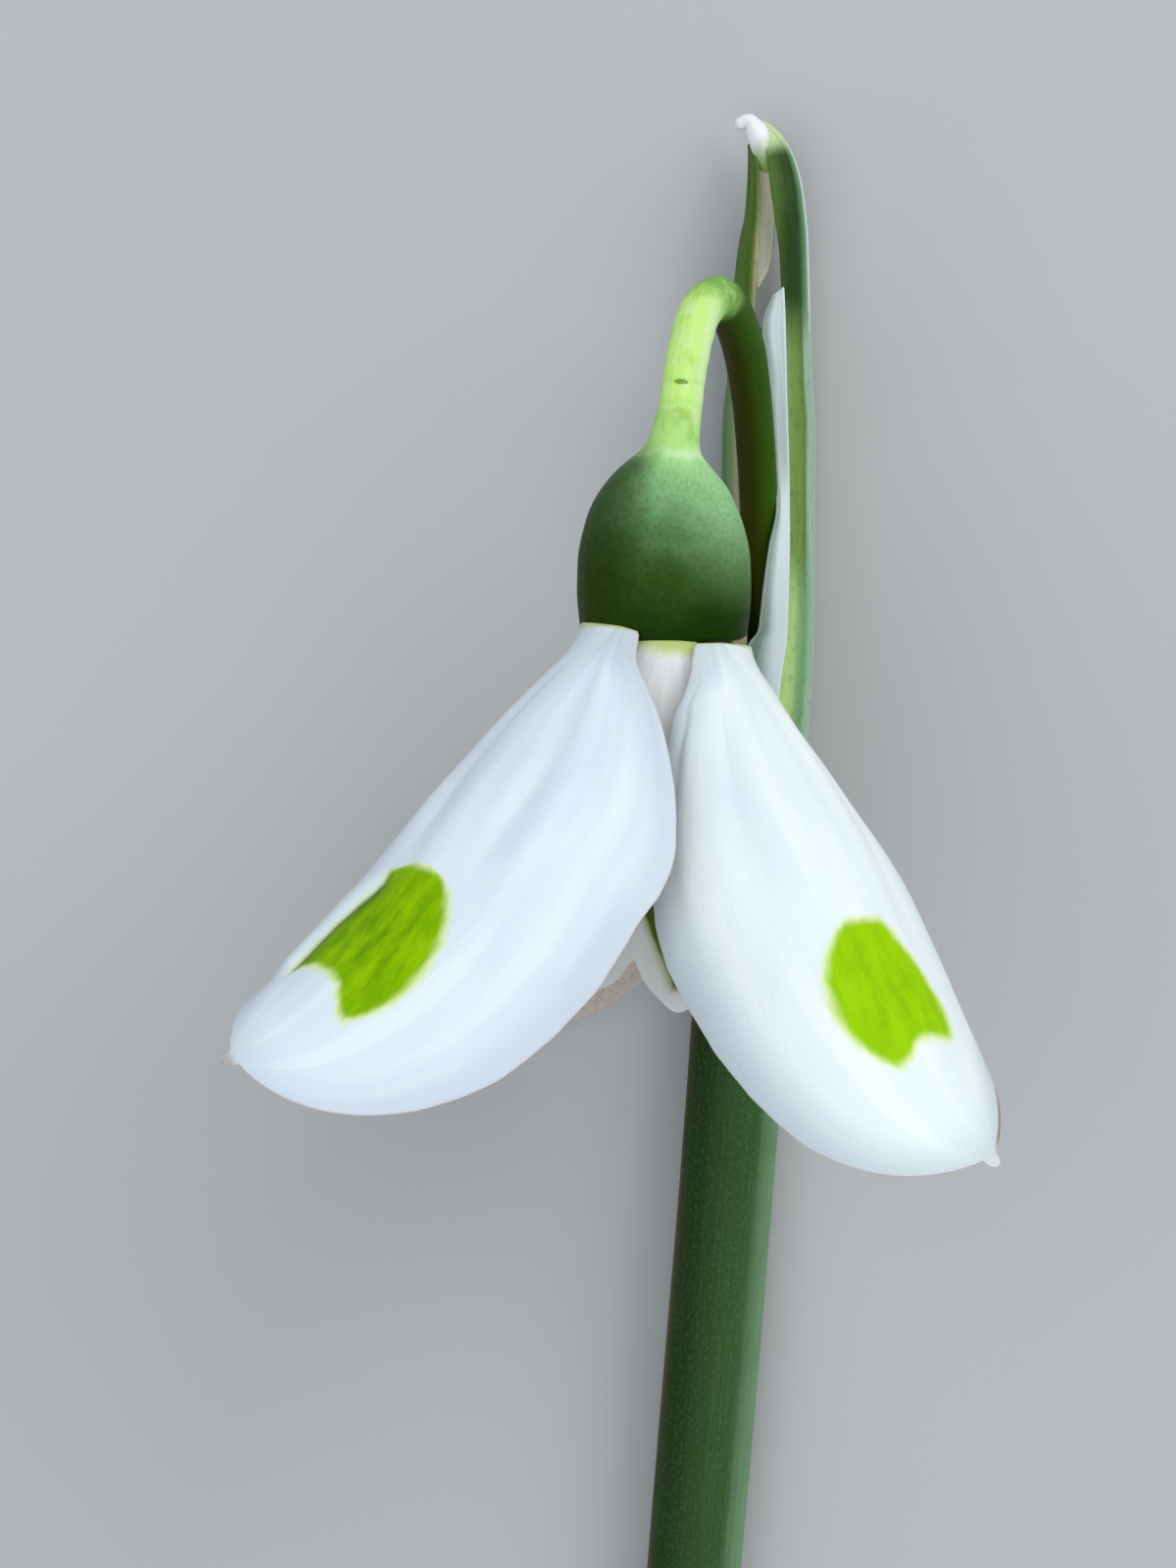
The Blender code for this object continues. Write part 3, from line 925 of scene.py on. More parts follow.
@dataclass(frozen=True)
class OvaryFinish:
    """Smooth green skin, paler and bloomed towards the stalk and dark olive towards the petals, partly
    painted light and shade.
    """

    name: str = "ovary_skin"
    dark: Colour = colour(22, 52, 0)
    low: Colour = colour(48, 78, 18)
    middle: Colour = colour(98, 136, 88)
    high: Colour = colour(134, 182, 126)
    pale: Colour = colour(176, 228, 158)
    neck: Colour = colour(182, 226, 132)
    ring: Colour = colour(222, 246, 206)
    dapple: Colour = colour(150, 190, 84)
    shadow: Colour = colour(42, 58, 2)
    lit: Colour = colour(166, 216, 156)
    mottle: Colour = colour(150, 158, 140)
    ring_place: float = 0.83  # of the pale ring where the neck starts, as a share of the length; on its lit side it is partly a painted highlight

    def material(self) -> bpy.types.Material:
        """The finish as a node material.

        Returns:
            The material.
        """
        graph = Graph(self.name)
        turn, along = graph.layer(Map.PLACE)
        _, share = graph.layer(Map.SHARE)
        blotch = graph.ring_grain(turn, along, (1.7, 0.68), 3.0) - 0.5
        place = share + blotch * 0.22
        side = turn.sine() + blotch * 0.35
        # paler towards the stalk and darker towards the petals: partly the skin's own colour, partly painted
        # light and shade
        body = graph.ramp(place, [
            (0.0, self.dark), (0.1, self.dark), (0.2, self.low), (0.34, self.low), (0.5, self.middle),
            (0.66, self.high), (0.79, self.pale), (0.85, self.neck), (1.0, self.neck),
        ])
        body = body.coat(self.shadow, side.rise(-0.05, -0.85, 0.0, 0.85) * share.rise(0.9, 0.74))
        window = share.rise(0.08, 0.6) * share.rise(0.88, 0.74)
        body = body.coat(self.lit, side.rise(0.0, 0.9, 0.0, 0.55) * window)
        streaks = graph.grain(turn, along, (9.0, 0.7), 4.0, 0.65)
        body = body.coat(self.pale, streaks.rise(0.35, 0.75, 0.0, 0.3), "SOFT_LIGHT")
        # a pale ring, strongest on the lit side: partly a painted highlight
        ring = abs(place - self.ring_place).rise(0.045, 0.0, 0.0, 0.6)
        body = body.coat(self.ring, ring * side.rise(-0.5, 0.4, 0.2, 1.0))
        dapple = graph.ring_grain(turn, along, (2.2, 1.6), 3.0, 0.65).rise(0.45, 0.7, 0.0, 0.45)
        body = body.coat(self.dapple, dapple * share.rise(0.8, 0.88))
        below_neck = share.rise(0.98, 0.72)
        speck = graph.grain(turn, along, (15.0, 4.2), 3.0, 0.6) * below_neck
        body = body.coat(self.mottle, speck.rise(0.4, 0.7, 0.0, 0.32), "MULTIPLY")
        relief = graph.bump(speck, 0.006, graph.bump(streaks * below_neck, 0.03))
        rough = speck.rise(0.3, 0.7, 0.42, 0.5)
        return graph.finish(graph.tissue(body, rough, relief, 0.1, 0.4, 0.08))


@dataclass(frozen=True)
class PedicelFinish:
    """The flower stalk: yellow-green with painted light where it hangs, dark with painted shade where it
    rises and on one side, with small marks.
    """

    crest: float  # distance along the stalk to the top of its arch
    length: float
    name: str = "pedicel_skin"
    # painted shade: one side of the stalk and its rising limb
    deep: Colour = colour(54, 56, 0)
    mid: Colour = colour(54, 92, 12)
    apex: Colour = colour(132, 186, 82)
    # yellow-green of the hanging limb, partly painted light
    lit_yellow_green: Colour = colour(204, 246, 136)
    # pale dapples, and a painted highlight on one side of the hanging limb
    glaze_and_highlight: Colour = colour(220, 246, 196)
    collar: Colour = colour(184, 228, 132)
    scar: Colour = colour(128, 160, 22)
    fleck: Colour = colour(92, 84, 30)

    def spot(self, graph: Graph, place: tuple[float, float], size: tuple[float, float]) -> Signal:
        """A soft uneven spot on the stalk.

        Args:
            graph: The material's nodes.
            place: The spot's angle from the top of the hanging part, and its distance from the end.
            size: Its half sizes, in radians and millimetres.

        Returns:
            A value of 1 at the spot's middle and 0 outside it.
        """
        turn, along = graph.layer(Map.PLACE)
        turned = 1.0 - (turn - (math.pi + place[0])).cosine()
        risen = (along - (self.length - place[1])) * (1 / size[1])
        uneven = (graph.ring_grain(turn, along, (5.0, 4.0), 2.0, 0.6) - 0.5) * 1.6
        return (turned * (2 / size[0] ** 2) + risen * risen + uneven).rise(1.3, 0.1)

    def material(self) -> bpy.types.Material:
        """The finish as a node material.

        Returns:
            The material.
        """
        graph = Graph(self.name)
        turn, along = graph.layer(Map.PLACE)
        blotch = graph.ring_grain(turn, along, (1.5, 0.75), 3.0)
        past = along - self.crest + (blotch - 0.5) * 1.6
        end = self.length - along
        side = turn.sine()
        # painted shade on one side
        body = graph.mix(self.deep, self.mid, side.rise(-0.5, 0.8))
        body = body.coat(self.apex, past.rise(-1.2, 0.8)).coat(self.lit_yellow_green, past.rise(1.2, 3.2))
        cloud = graph.ring_grain(turn, along, (1.1, 0.9), 3.0, 0.6).rise(0.5, 0.75, 0.0, 0.45)
        body = body.coat(self.apex, cloud * past.rise(0.5, 2.5))
        dapple = graph.ring_grain(turn, along, (1.4, 1.5), 3.0, 0.65).rise(0.45, 0.68, 0.0, 0.4)
        body = body.coat(self.glaze_and_highlight, dapple * past.rise(-1.0, 0.5))
        # painted highlight on one side of the hanging limb
        body = body.coat(self.glaze_and_highlight, side.rise(0.35, 0.9, 0.0, 0.55) * past.rise(1.5, 3.5))
        rings = (end * 7.0 + blotch * 3.0).cosine().rise(0.2, 1.0)
        body = body.coat(self.apex, rings * end.rise(4.2, 2.4, 0.0, 0.14))
        body = body.coat(self.collar, end.rise(1.9, 0.2, 0.0, 0.85))
        dash = self.spot(graph, (0.13, SCAR_PLACE), (0.34, 0.11))
        patch = self.spot(graph, (-0.1, 1.1), (0.62, 0.36))
        fleck = self.spot(graph, (0.8, 0.55), (0.22, 0.15))
        body = body.coat(self.scar, dash * 0.95).coat(self.scar, patch * 0.38).coat(self.fleck, fleck * 0.9)
        fibres = graph.ring_grain(turn, along, (6.0, 0.5), 2.0, 0.6)
        relief = graph.bump(fibres + dash * -1.5, 0.06)
        rough = blotch.rise(0.3, 0.7, 0.42, 0.55)
        return graph.finish(graph.tissue(body, rough, relief, 0.15, 0.5, 0.08))


@dataclass(frozen=True)
class StemFinish:
    """Green stem skin with fine lengthwise lines, painted shade on one side and a bloom with painted light
    on its lit side.
    """

    name: str = "stem_skin"
    # painted shade on one side, and darker clouds
    deep: Colour = colour(36, 58, 20)
    green: Colour = colour(54, 90, 42)
    # a whitish bloom, with painted light on the lit side
    bloom: Colour = colour(132, 170, 132)
    blush: Colour = colour(98, 72, 44)

    def material(self) -> bpy.types.Material:
        """The finish as a node material.

        Returns:
            The material.
        """
        graph = Graph(self.name)
        turn, along = graph.layer(Map.PLACE)
        side = turn.sine()
        lines = graph.grain(turn, along, (7.5, 0.03), 3.0, 0.6)
        fine = graph.grain(turn, along, (22.0, 0.08), 2.0, 0.6, seed=3.0)
        clouds = graph.grain(turn, along, (1.2, 0.22), 3.0, seed=8.0)
        pores = graph.grain(turn, along, (14.0, 4.0), 3.0, 0.7, seed=1.0)
        place = side + (lines - 0.5) * 0.28
        # painted shade on one side; the bloom on the other side is partly painted light
        body = graph.mix(self.deep, self.green, place.rise(-0.75, 0.5))
        body = body.coat(self.bloom, place.rise(0.42, 1.02, 0.0, 0.75))
        body = body.coat(self.bloom, fine.rise(0.45, 0.8, 0.0, 0.07))
        body = body.coat(self.deep, clouds.rise(0.45, 0.8, 0.0, 0.3))
        body = body.coat(self.blush, side.rise(-0.9, -0.995, 0.0, 0.8) * clouds.rise(0.3, 0.6, 0.3, 1.0))
        body = body.coat(self.bloom, pores.rise(0.45, 0.75, 0.0, 0.14))
        relief = graph.bump(pores, 0.01, graph.bump(lines, 0.03))
        rough = pores.rise(0.3, 0.7, 0.42, 0.6)
        return graph.finish(graph.tissue(body, rough, relief, 0.08, 0.4, 0.1))


@dataclass(frozen=True)
class CutFinish:
    """The stem's cut end: pale wet pith with a ring of darker bundles."""

    radius: float
    name: str = "cut_end"
    pith: Colour = colour(186, 208, 140)
    skin: Colour = colour(88, 122, 66)
    bundle: Colour = colour(112, 140, 58)
    bundles: int = 11

    def material(self) -> bpy.types.Material:
        """The finish as a node material.

        Returns:
            The material.
        """
        graph = Graph(self.name)
        turn, _ = graph.layer(Map.PLACE)
        reach, _ = graph.layer(Map.EDGE)
        body = graph.mix(self.pith, self.skin, reach.rise(0.82 * self.radius, 0.95 * self.radius))
        ring = abs(reach - 0.62 * self.radius).rise(0.26, 0.06)
        body = body.coat(self.bundle, ring * abs((turn * (self.bundles / 2)).sine()).rise(0.75, 0.97))
        cells = graph.cells(graph.vector(reach * turn.cosine() * 5.0, reach * turn.sine() * 5.0))
        body = body.coat(self.skin, cells.rise(0.2, 0.7, 0.0, 0.25))
        rough = cells.rise(0.1, 0.7, 0.22, 0.4)
        return graph.finish(graph.tissue(body, rough, graph.bump(cells, 0.06), 0.25, 0.6))


@dataclass(frozen=True)
class ValveFinish:
    """A green valve of the spathe, striped lengthwise in zones that follow one another.

    Each zone is the distance at which it takes over and its stripes, as (angle in degrees, colour).
    """

    name: str
    zones: Sequence[tuple[float, Stripes]]
    inside: Colour = colour(150, 176, 120)
    tip: Colour = colour(206, 226, 170)
    tip_start: float = 28.0
    speck: Colour = colour(40, 60, 44)
    line: Colour = colour(60, 88, 40)
    fade: float = 1.6  # how far before and after its place a zone takes over

    def bands(self, graph: Graph, turn: Signal, stripes: Stripes) -> Signal:
        """The colour of a set of stripes at an angle given as a share of half a turn."""
        return graph.ramp(turn, [(angle / 180.0, shade) for angle, shade in stripes])

    def material(self) -> bpy.types.Material:
        """The finish as a node material.

        Returns:
            The material.
        """
        graph = Graph(self.name)
        turn, along = graph.layer(Map.PLACE)
        _, side = graph.layer(Map.EDGE)
        lines = graph.grain(turn, along, (16.0, 0.05), 3.0, 0.6)
        clouds = graph.grain(turn, along, (3.0, 0.35), 3.0, 0.6, seed=4.0)
        mottle = graph.grain(turn, along, (22.0, 2.2), 3.0, 0.6, seed=6.0)
        fine = graph.grain(turn, along, (60.0, 0.25), seed=8.0)
        pores = graph.grain(turn, along, (40.0, 2.5), 2.0, 0.6, seed=1.0)
        spots = graph.cells(graph.vector(turn * 7.0, along * 0.45, 2.0))
        place = turn + (lines - 0.5) * 0.05
        body = self.bands(graph, place, self.zones[0][1])
        for start, stripes in self.zones[1:]:
            reached = along.rise(start - self.fade, start + self.fade)
            body = body.coat(self.bands(graph, place, stripes), reached)
        body = body.coat(self.inside, side.rise(0.6, 0.3))
        body = body.coat(self.inside, clouds.rise(0.45, 0.75, 0.0, 0.08))
        body = body.coat(self.line, mottle.rise(0.5, 0.75, 0.0, 0.3))
        body = body.coat(self.line, fine.rise(0.5, 0.8, 0.0, 0.35))
        body = body.coat(self.tip, along.rise(self.tip_start, self.tip_start + 0.9))
        body = body.coat(self.speck, spots.rise(0.07, 0.03, 0.0, 0.8))
        relief = graph.bump(pores, 0.02, graph.bump(lines, 0.12))
        rough = pores.rise(0.3, 0.7, 0.4, 0.56)
        return graph.finish(graph.tissue(body, rough, relief, 0.15, 0.5))


@dataclass(frozen=True)
class MembraneFinish:
    """Papery translucent tissue between the spathe's valves, thinnest at its foot."""

    name: str
    dense: Colour
    thin: Colour
    clear: float  # how much of what lies behind shows through the thin places
    reach: float = 1.0  # how dense it gets along its length
    slant: float = 0.12  # how much denser it is at its right edge than at its middle
    dense_end: float = 1.0  # the share of the length at which it is densest

    def material(self) -> bpy.types.Material:
        """The finish as a node material.

        Returns:
            The material.
        """
        graph = Graph(self.name)
        across, along = graph.layer(Map.PLACE)
        share, length = graph.layer(Map.SHARE)
        edge, _ = graph.layer(Map.EDGE)
        folds = graph.grain(across, along, (3.2, 0.16), 3.0, 0.6)
        fine = graph.grain(across, along, (11.0, 0.6), 2.0, 0.6, seed=5.0)
        depth = length.rise(0.0, self.dense_end, 0.0, self.reach) + (folds - 0.5) * 0.5 + share * self.slant
        body = graph.mix(self.thin, self.dense, depth.rise(0.1, 0.8))
        body = body.coat(self.dense, edge.rise(0.12, 0.0, 0.0, 0.2))
        relief = graph.bump(fine, 0.01, graph.bump(folds, 0.02))
        surface = graph.tissue(body, fine.rise(0.3, 0.7, 0.4, 0.55), relief, 0.0, 0.3, 0.15)
        through = graph.signal("BsdfTranslucent", {"Color": body, "Normal": relief})
        surface = graph.signal("MixShader", {0: 0.15, 1: surface, 2: through})
        see = depth.rise(0.9, 0.1) * edge.rise(0.0, 0.15) * self.clear
        clear = graph.signal("BsdfTransparent")
        return graph.finish(graph.signal("MixShader", {0: see, 1: surface, 2: clear}))


@dataclass(frozen=True)
class HoodFinish:
    """The fleshy white hook at the spathe's tip, which greens into the valves."""

    name: str = "hood_flesh"
    white: Colour = colour(246, 248, 250)
    blush: Colour = colour(248, 228, 234)
    green: Colour = colour(164, 188, 118)

    def material(self) -> bpy.types.Material:
        """The finish as a node material.

        Returns:
            The material.
        """
        graph = Graph(self.name)
        turn, along = graph.layer(Map.PLACE)
        _, share = graph.layer(Map.SHARE)
        blotch = graph.ring_grain(turn, along, (1.0, 1.0), 3.0)
        place = share + (blotch - 0.5) * 0.25
        body = graph.mix(self.green, self.white, place.rise(0.22, 0.62))
        body = body.coat(self.blush, place.rise(0.92, 1.08, 0.0, 0.7))
        rough = blotch.rise(0.3, 0.7, 0.34, 0.5)
        return graph.finish(graph.tissue(body, rough, graph.bump(blotch, 0.08), 0.4, 0.6))


@dataclass(frozen=True)
class AntherFinish:
    """Orange-yellow anther skin over a pale filament."""

    start: float  # the filament's length
    name: str = "anther_skin"
    filament: Colour = colour(226, 230, 206)
    yellow: Colour = colour(232, 168, 40)
    orange: Colour = colour(206, 120, 16)
    point: Colour = colour(176, 120, 44)

    def material(self) -> bpy.types.Material:
        """The finish as a node material.

        Returns:
            The material.
        """
        graph = Graph(self.name)
        turn, along = graph.layer(Map.PLACE)
        _, share = graph.layer(Map.SHARE)
        pollen = graph.ring_grain(turn, along, (4.0, 4.8), 3.0)
        skin = graph.mix(self.orange, self.yellow, pollen.rise(0.35, 0.65))
        skin = skin.coat(self.orange, abs(turn.sine()).rise(0.85, 1.0) * 0.7)
        skin = skin.coat(self.point, share.rise(0.9, 1.0))
        body = graph.mix(self.filament, skin, along.rise(self.start - 0.2, self.start + 0.2))
        rough = pollen.rise(0.3, 0.7, 0.5, 0.65)
        return graph.finish(graph.tissue(body, rough, graph.bump(pollen, 0.04), 0.15, 0.4))


@dataclass(frozen=True)
class StyleFinish:
    """The pale style, greenish at its foot."""

    name: str = "style_skin"
    foot: Colour = colour(168, 196, 110)
    pale: Colour = colour(226, 230, 204)
    stigma: Colour = colour(198, 206, 140)

    def material(self) -> bpy.types.Material:
        """The finish as a node material.

        Returns:
            The material.
        """
        graph = Graph(self.name)
        turn, along = graph.layer(Map.PLACE)
        _, share = graph.layer(Map.SHARE)
        fibres = graph.grain(turn, along, (3.0, 0.5), 3.0, 0.6)
        stops = [(0.0, self.foot), (0.35, self.pale), (0.85, self.pale), (1.0, self.stigma)]
        body = graph.ramp(share + (fibres - 0.5) * 0.2, stops)
        rough = fibres.rise(0.3, 0.7, 0.4, 0.55)
        return graph.finish(graph.tissue(body, rough, graph.bump(fibres, 0.04), 0.25, 0.4))


@dataclass(frozen=True)
class FloorFinish:
    """A plain matt studio surface."""

    name: str = "studio_floor"
    pale: Colour = (0.53, 0.536, 0.542)
    worn: Colour = (0.505, 0.512, 0.518)

    def material(self) -> bpy.types.Material:
        """The finish as a node material.

        Returns:
            The material.
        """
        graph = Graph(self.name)
        place = graph.signal("TexCoord", output="Object")
        mottle = graph.signal("TexNoise", {"Vector": place, "Scale": 6.0, "Detail": 2.0})
        surface = {"Base Color": graph.mix(self.worn, self.pale, mottle), "Roughness": 0.85,
                   "Specular IOR Level": 0.2}
        return graph.finish(graph.signal("BsdfPrincipled", surface))


# ---- the flower


FULLNESS_SHARES = (0.0, 0.06, 0.15, 0.3, 0.5, 0.7, 0.86, 0.95, 1.0)
EVEN_FULLNESS = (1.0,) * len(FULLNESS_SHARES)


@dataclass
class OuterPetal:
    """One outer petal: angles in degrees, lengths in millimetres, curls in radians a millimetre."""

    name: str
    node: str
    azimuth: float  # round the flower's axis from its front, towards its right
    spread: tuple[float, float, float]  # from the axis at the claw, the middle and the tip
    tip_flick: float  # added outwards over the last third
    sway: float  # sideways heading gained along the length
    tip_sway: float
    roll: float  # turn of the blade about its length, most at the middle
    tip_roll: float
    curl: tuple[float, float, float]  # across the blade at the claw, the middle and the tip
    near_side: int  # +1 or -1: the edge that faces the flower's front
    near_curl: float  # that edge's curl as a share of the plain one
    far_curl: float = 1.0
    length: float = 26.9
    half_width: float = 9.45
    claw_half_width: float = 1.3
    widest_at: float = 0.51
    shoulder_power: float = 1.13
    tip_power: float = 0.52
    near_fullness: tuple[float, ...] = EVEN_FULLNESS
    far_fullness: tuple[float, ...] = EVEN_FULLNESS
    base_radius: float = 2.9
    claw_lift: float = 0.5  # further out from the axis at the very base
    claw_lift_share: float = 0.2
    flick_start: float = 0.62
    beak_length: float = 0.9
    beak_half_width: float = 0.4
    beak_overlap: float = 0.55  # the share of the beak that lies past the blade's end
    cuff: float = 1.5  # how much of the claw hugs the ovary's rim,
    cuff_radius: float = 3.62  # how far that lies from the flower's axis, and
    cuff_rise: float = 0.1  # how far the claw laps over it
    thickness: float = 0.36
    margin_thickness: float = 0.13
    flute_height: float = 0.13
    flute_phase: float = 0.0
    flute_fade: float = 0.88  # how much of the flutes is lost past the middle
    wave_height: float = 0.05  # of slow waves along the blade
    frills: tuple[tuple[float, float, float], ...] = ()  # on the near edge: place, width and height
    crease: Pairs = ()  # along and across: a fold beyond which the far side lifts
    crease_depth: float = 0.2
    crease_half_width: float = 0.28
    rows: int = 150
    columns: int = 96
    row_crowding: float = 0.9  # below 1 draws the rows towards the tip
    column_crowding: float = 0.82  # near 1 draws the columns towards the edges
    tissue: OuterPetalFinish = OuterPetalFinish()

    def midrib(self, along: Array, placement: Placement) -> tuple[Array, Array, Array]:
        """The petal's midrib and the directions flat across its blade and out of it.

        Args:
            along: Even shares of the length, from 0 to 1.
            placement: Where the flower lies.

        Returns:
            The midrib's points, the flat directions and the outer directions.
        """
        azimuth = math.radians(self.azimuth)
        outward = placement.outward(azimuth)
        sideways = math.cos(azimuth) * placement.right - math.sin(azimuth) * placement.front
        tip = np.clip((along - self.flick_start) / (1 - self.flick_start), 0, 1) ** 2
        claw, middle, end = self.spread
        spread = claw * (1 - along) * (1 - 2 * along) + middle * 4 * along * (1 - along)
        spread = np.radians(spread + end * along * (2 * along - 1) + self.tip_flick * tip)
        sway = np.radians(self.sway * along + self.tip_sway * tip)
        heading = np.outer(np.cos(spread), placement.axis) + np.outer(np.sin(spread), outward)
        heading = heading * np.cos(sway)[:, None] + np.outer(np.sin(sway), sideways)
        steps = (heading[1:] + heading[:-1]) / 2 * self.length / (len(along) - 1)
        midrib = placement.base + np.vstack([np.zeros(3), np.cumsum(steps, axis=0)])
        lift = self.claw_lift * (1 - smoothstep(along, 0, self.claw_lift_share))
        midrib = midrib + np.outer(self.base_radius + lift, outward)
        flat = unit(sideways - heading * (heading @ sideways)[:, None])
        outer = np.cross(flat, heading)
        outer *= np.sign(outer @ outward)[:, None]
        roll = np.radians(self.roll * np.sin(math.pi * along) + self.tip_roll * along ** 2)[:, None]
        return midrib, flat * np.cos(roll) + outer * np.sin(roll), outer * np.cos(roll) - flat * np.sin(roll)

    def half_widths(self, along: Array) -> tuple[Array, Array]:
        """Finds how wide the blade is on each side of its midrib, beak included.

        Args:
            along: Shares of the length.

        Returns:
            The widths in millimetres to the near edge and to the far edge.
        """
        blade_end = 1 - self.beak_length / self.length * self.beak_overlap
        shoulder = np.sin(math.pi / 2 * np.clip(along / self.widest_at, 0, 1)) ** self.shoulder_power
        shoulder = self.claw_half_width + (self.half_width - self.claw_half_width) * shoulder
        point = np.clip((along - self.widest_at) / (blade_end - self.widest_at), 0, 1)
        point = self.half_width * np.cos(math.pi / 2 * point) ** self.tip_power
        plain = np.where(along < self.widest_at, shoulder, point)
        beak = np.clip((along - 1) * self.length / self.beak_length + 1, 0, 1)
        beak = self.beak_half_width * np.sqrt(1.02 - beak ** 3)
        distance = along * self.length
        frill = sum(height * bell(distance, place, width) for place, width, height in self.frills)
        waver = ripple(along, [(0.04, 5.3, self.flute_phase), (0.015, 11.7, 0.3), (0.008, 23.0, 0.7)])
        waver = waver * smoothstep(along, 0.08, 0.3) * smoothstep(along, 0.97, 0.85)
        near = plain * smooth_values(FULLNESS_SHARES, self.near_fullness, along) + frill + waver
        far = plain * smooth_values(FULLNESS_SHARES, self.far_fullness, along) + waver
        return np.hypot(np.maximum(near, 0), beak), np.hypot(np.maximum(far, 0), beak)

    def crease_at(self, along: Array) -> tuple[Array, Array]:
        """Finds the crease.

        Args:
            along: Millimetres from the claw.

        Returns:
            How far across it lies at each distance, and how deep it is there, from 0 to 1.
        """
        if not self.crease:
            return np.full(along.shape, 20.0), np.zeros(along.shape)
        first, last = self.crease[0][0], self.crease[-1][0]
        depth = smoothstep(along, first - 1.2, first + 0.8) * smoothstep(along, last + 1.0, last - 0.6)
        return profile(self.crease, along), depth

    def relief(self, across: Array, along: Array, share: Array) -> Array:
        """The height of flutes, veins and crease above the plain blade.

        Args:
            across: Millimetres from the midrib, near side positive.
            along: Millimetres from the claw.
            share: Share of the half width, -1 to 1.

        Returns:
            Heights in millimetres.
        """
        place = along / self.length
        window = smoothstep(place, 0.02, 0.22) * (1 - self.flute_fade * smoothstep(place, 0.4, 0.66))
        window = window * smoothstep(1 - np.abs(share), 0.0, 0.25) * smoothstep(place, 0.96, 0.74)
        bend = 0.05 * np.sin(place * 5.0 + 1.0)
        phase = self.flute_phase
        flutes = ripple(share + bend, [(0.62, 2.55, phase), (0.28, 4.3, 0.4 + phase), (0.06, 7.9, 0.15)])
        waves = ripple(place + 0.15 * share, [(0.6, 2.2, 0.1), (0.4, 4.6, 0.5)])
        height = (self.flute_height * flutes + self.wave_height * waves) * window
        crease, depth = self.crease_at(along)
        past = -across - crease
        valley = -bell(past, 0.0, self.crease_half_width)
        ridge = smoothstep(past, 0.0, 0.8) * smoothstep(past, 2.6, 1.2)
        return height + depth * self.crease_depth * (valley + ridge)

    def hug(self, points: Array, along: Array, placement: Placement) -> Array:
        """The blade's points with the claw's foot drawn onto the ovary's rim.

        Args:
            points: The blade's points, rows by columns by 3.
            along: Each row's distance from the claw.
            placement: Where the flower lies.

        Returns:
            The moved points.
        """
        hold = (1 - smoothstep(along, 0.0, self.cuff))[:, None, None]
        away = points - placement.base
        radial = away - (away @ placement.axis)[..., None] * placement.axis
        aim = unit(radial) * self.cuff_radius - self.cuff_rise * placement.axis
        return points + hold * (aim - away)

    def sheet(self, placement: Placement) -> Sheet:
        """The blade as a sheet.

        Args:
            placement: Where the flower lies.

        Returns:
            The petal's sheet, with its coordinate layers.
        """
        fine = np.linspace(0, 1, 241)
        midrib, flat, outer = self.midrib(fine, placement)
        claw, middle, end = self.curl
        curl = claw + (middle - claw) * smoothstep(2 * fine) + (end - middle) * smoothstep(2 * fine - 1)
        quarter = math.pi / 2
        shares = np.sin(quarter * np.linspace(0, 1, self.rows) ** self.row_crowding)
        near, far = self.half_widths(shares)
        stations = [np.column_stack([np.interp(shares, fine, axis) for axis in part.T])
                    for part in (midrib, flat, outer)]
        midrib, flat, outer = (part[:, None] for part in stations)
        curl = np.interp(shares, fine, curl)[:, None]
        v = np.sin(np.linspace(-quarter, quarter, self.columns) * self.column_crowding)
        v = np.broadcast_to(v / math.sin(quarter * self.column_crowding), (self.rows, self.columns))
        is_near = v * self.near_side > 0
        width = np.where(is_near, near[:, None], far[:, None])
        turn = np.where(is_near, self.near_curl, self.far_curl) * np.maximum(curl * width, 1e-3)
        aside = (width / turn * np.sin(turn * v))[..., None]
        drop = (width / turn * (1 - np.cos(turn * v)))[..., None]
        middle_surface = self.hug(midrib + aside * flat - drop * outer, shares * self.length, placement)
        across = width * v * self.near_side
        along = np.broadcast_to(shares[:, None] * self.length, across.shape)
        crease, depth = self.crease_at(along)
        edge = np.minimum(width * (1 - np.abs(v)), self.length - along)
        thickness = self.margin_thickness + (self.thickness - self.margin_thickness) * (1 - v ** 2) ** 0.8
        thickness = thickness * smoothstep(self.length - along, -0.4, 1.6)
        sheet = Sheet(middle_surface, outer, np.maximum(thickness, LEAST_THICKNESS), {
            Map.PLACE: pair(across, along),
            Map.SHARE: pair(v * self.near_side, along / self.length),
            Map.EDGE: pair(edge, edge),
            Map.FOLD: pair(-across - crease, depth),
        })
        values = sheet.maps
        sheet.displace(self.relief(values[Map.PLACE][..., 0], values[Map.PLACE][..., 1],
                                   values[Map.SHARE][..., 0]))
        return sheet

    def build(self, placement: Placement) -> None:
        """Makes the petal, dresses it and lets it stand for its node.

        Args:
            placement: Where the flower lies.
        """
        piece = self.sheet(placement).build(self.name, placement)
        finish = self.tissue.material(self.name + "_tissue", self.length)
        install(piece, [finish], [self.node])


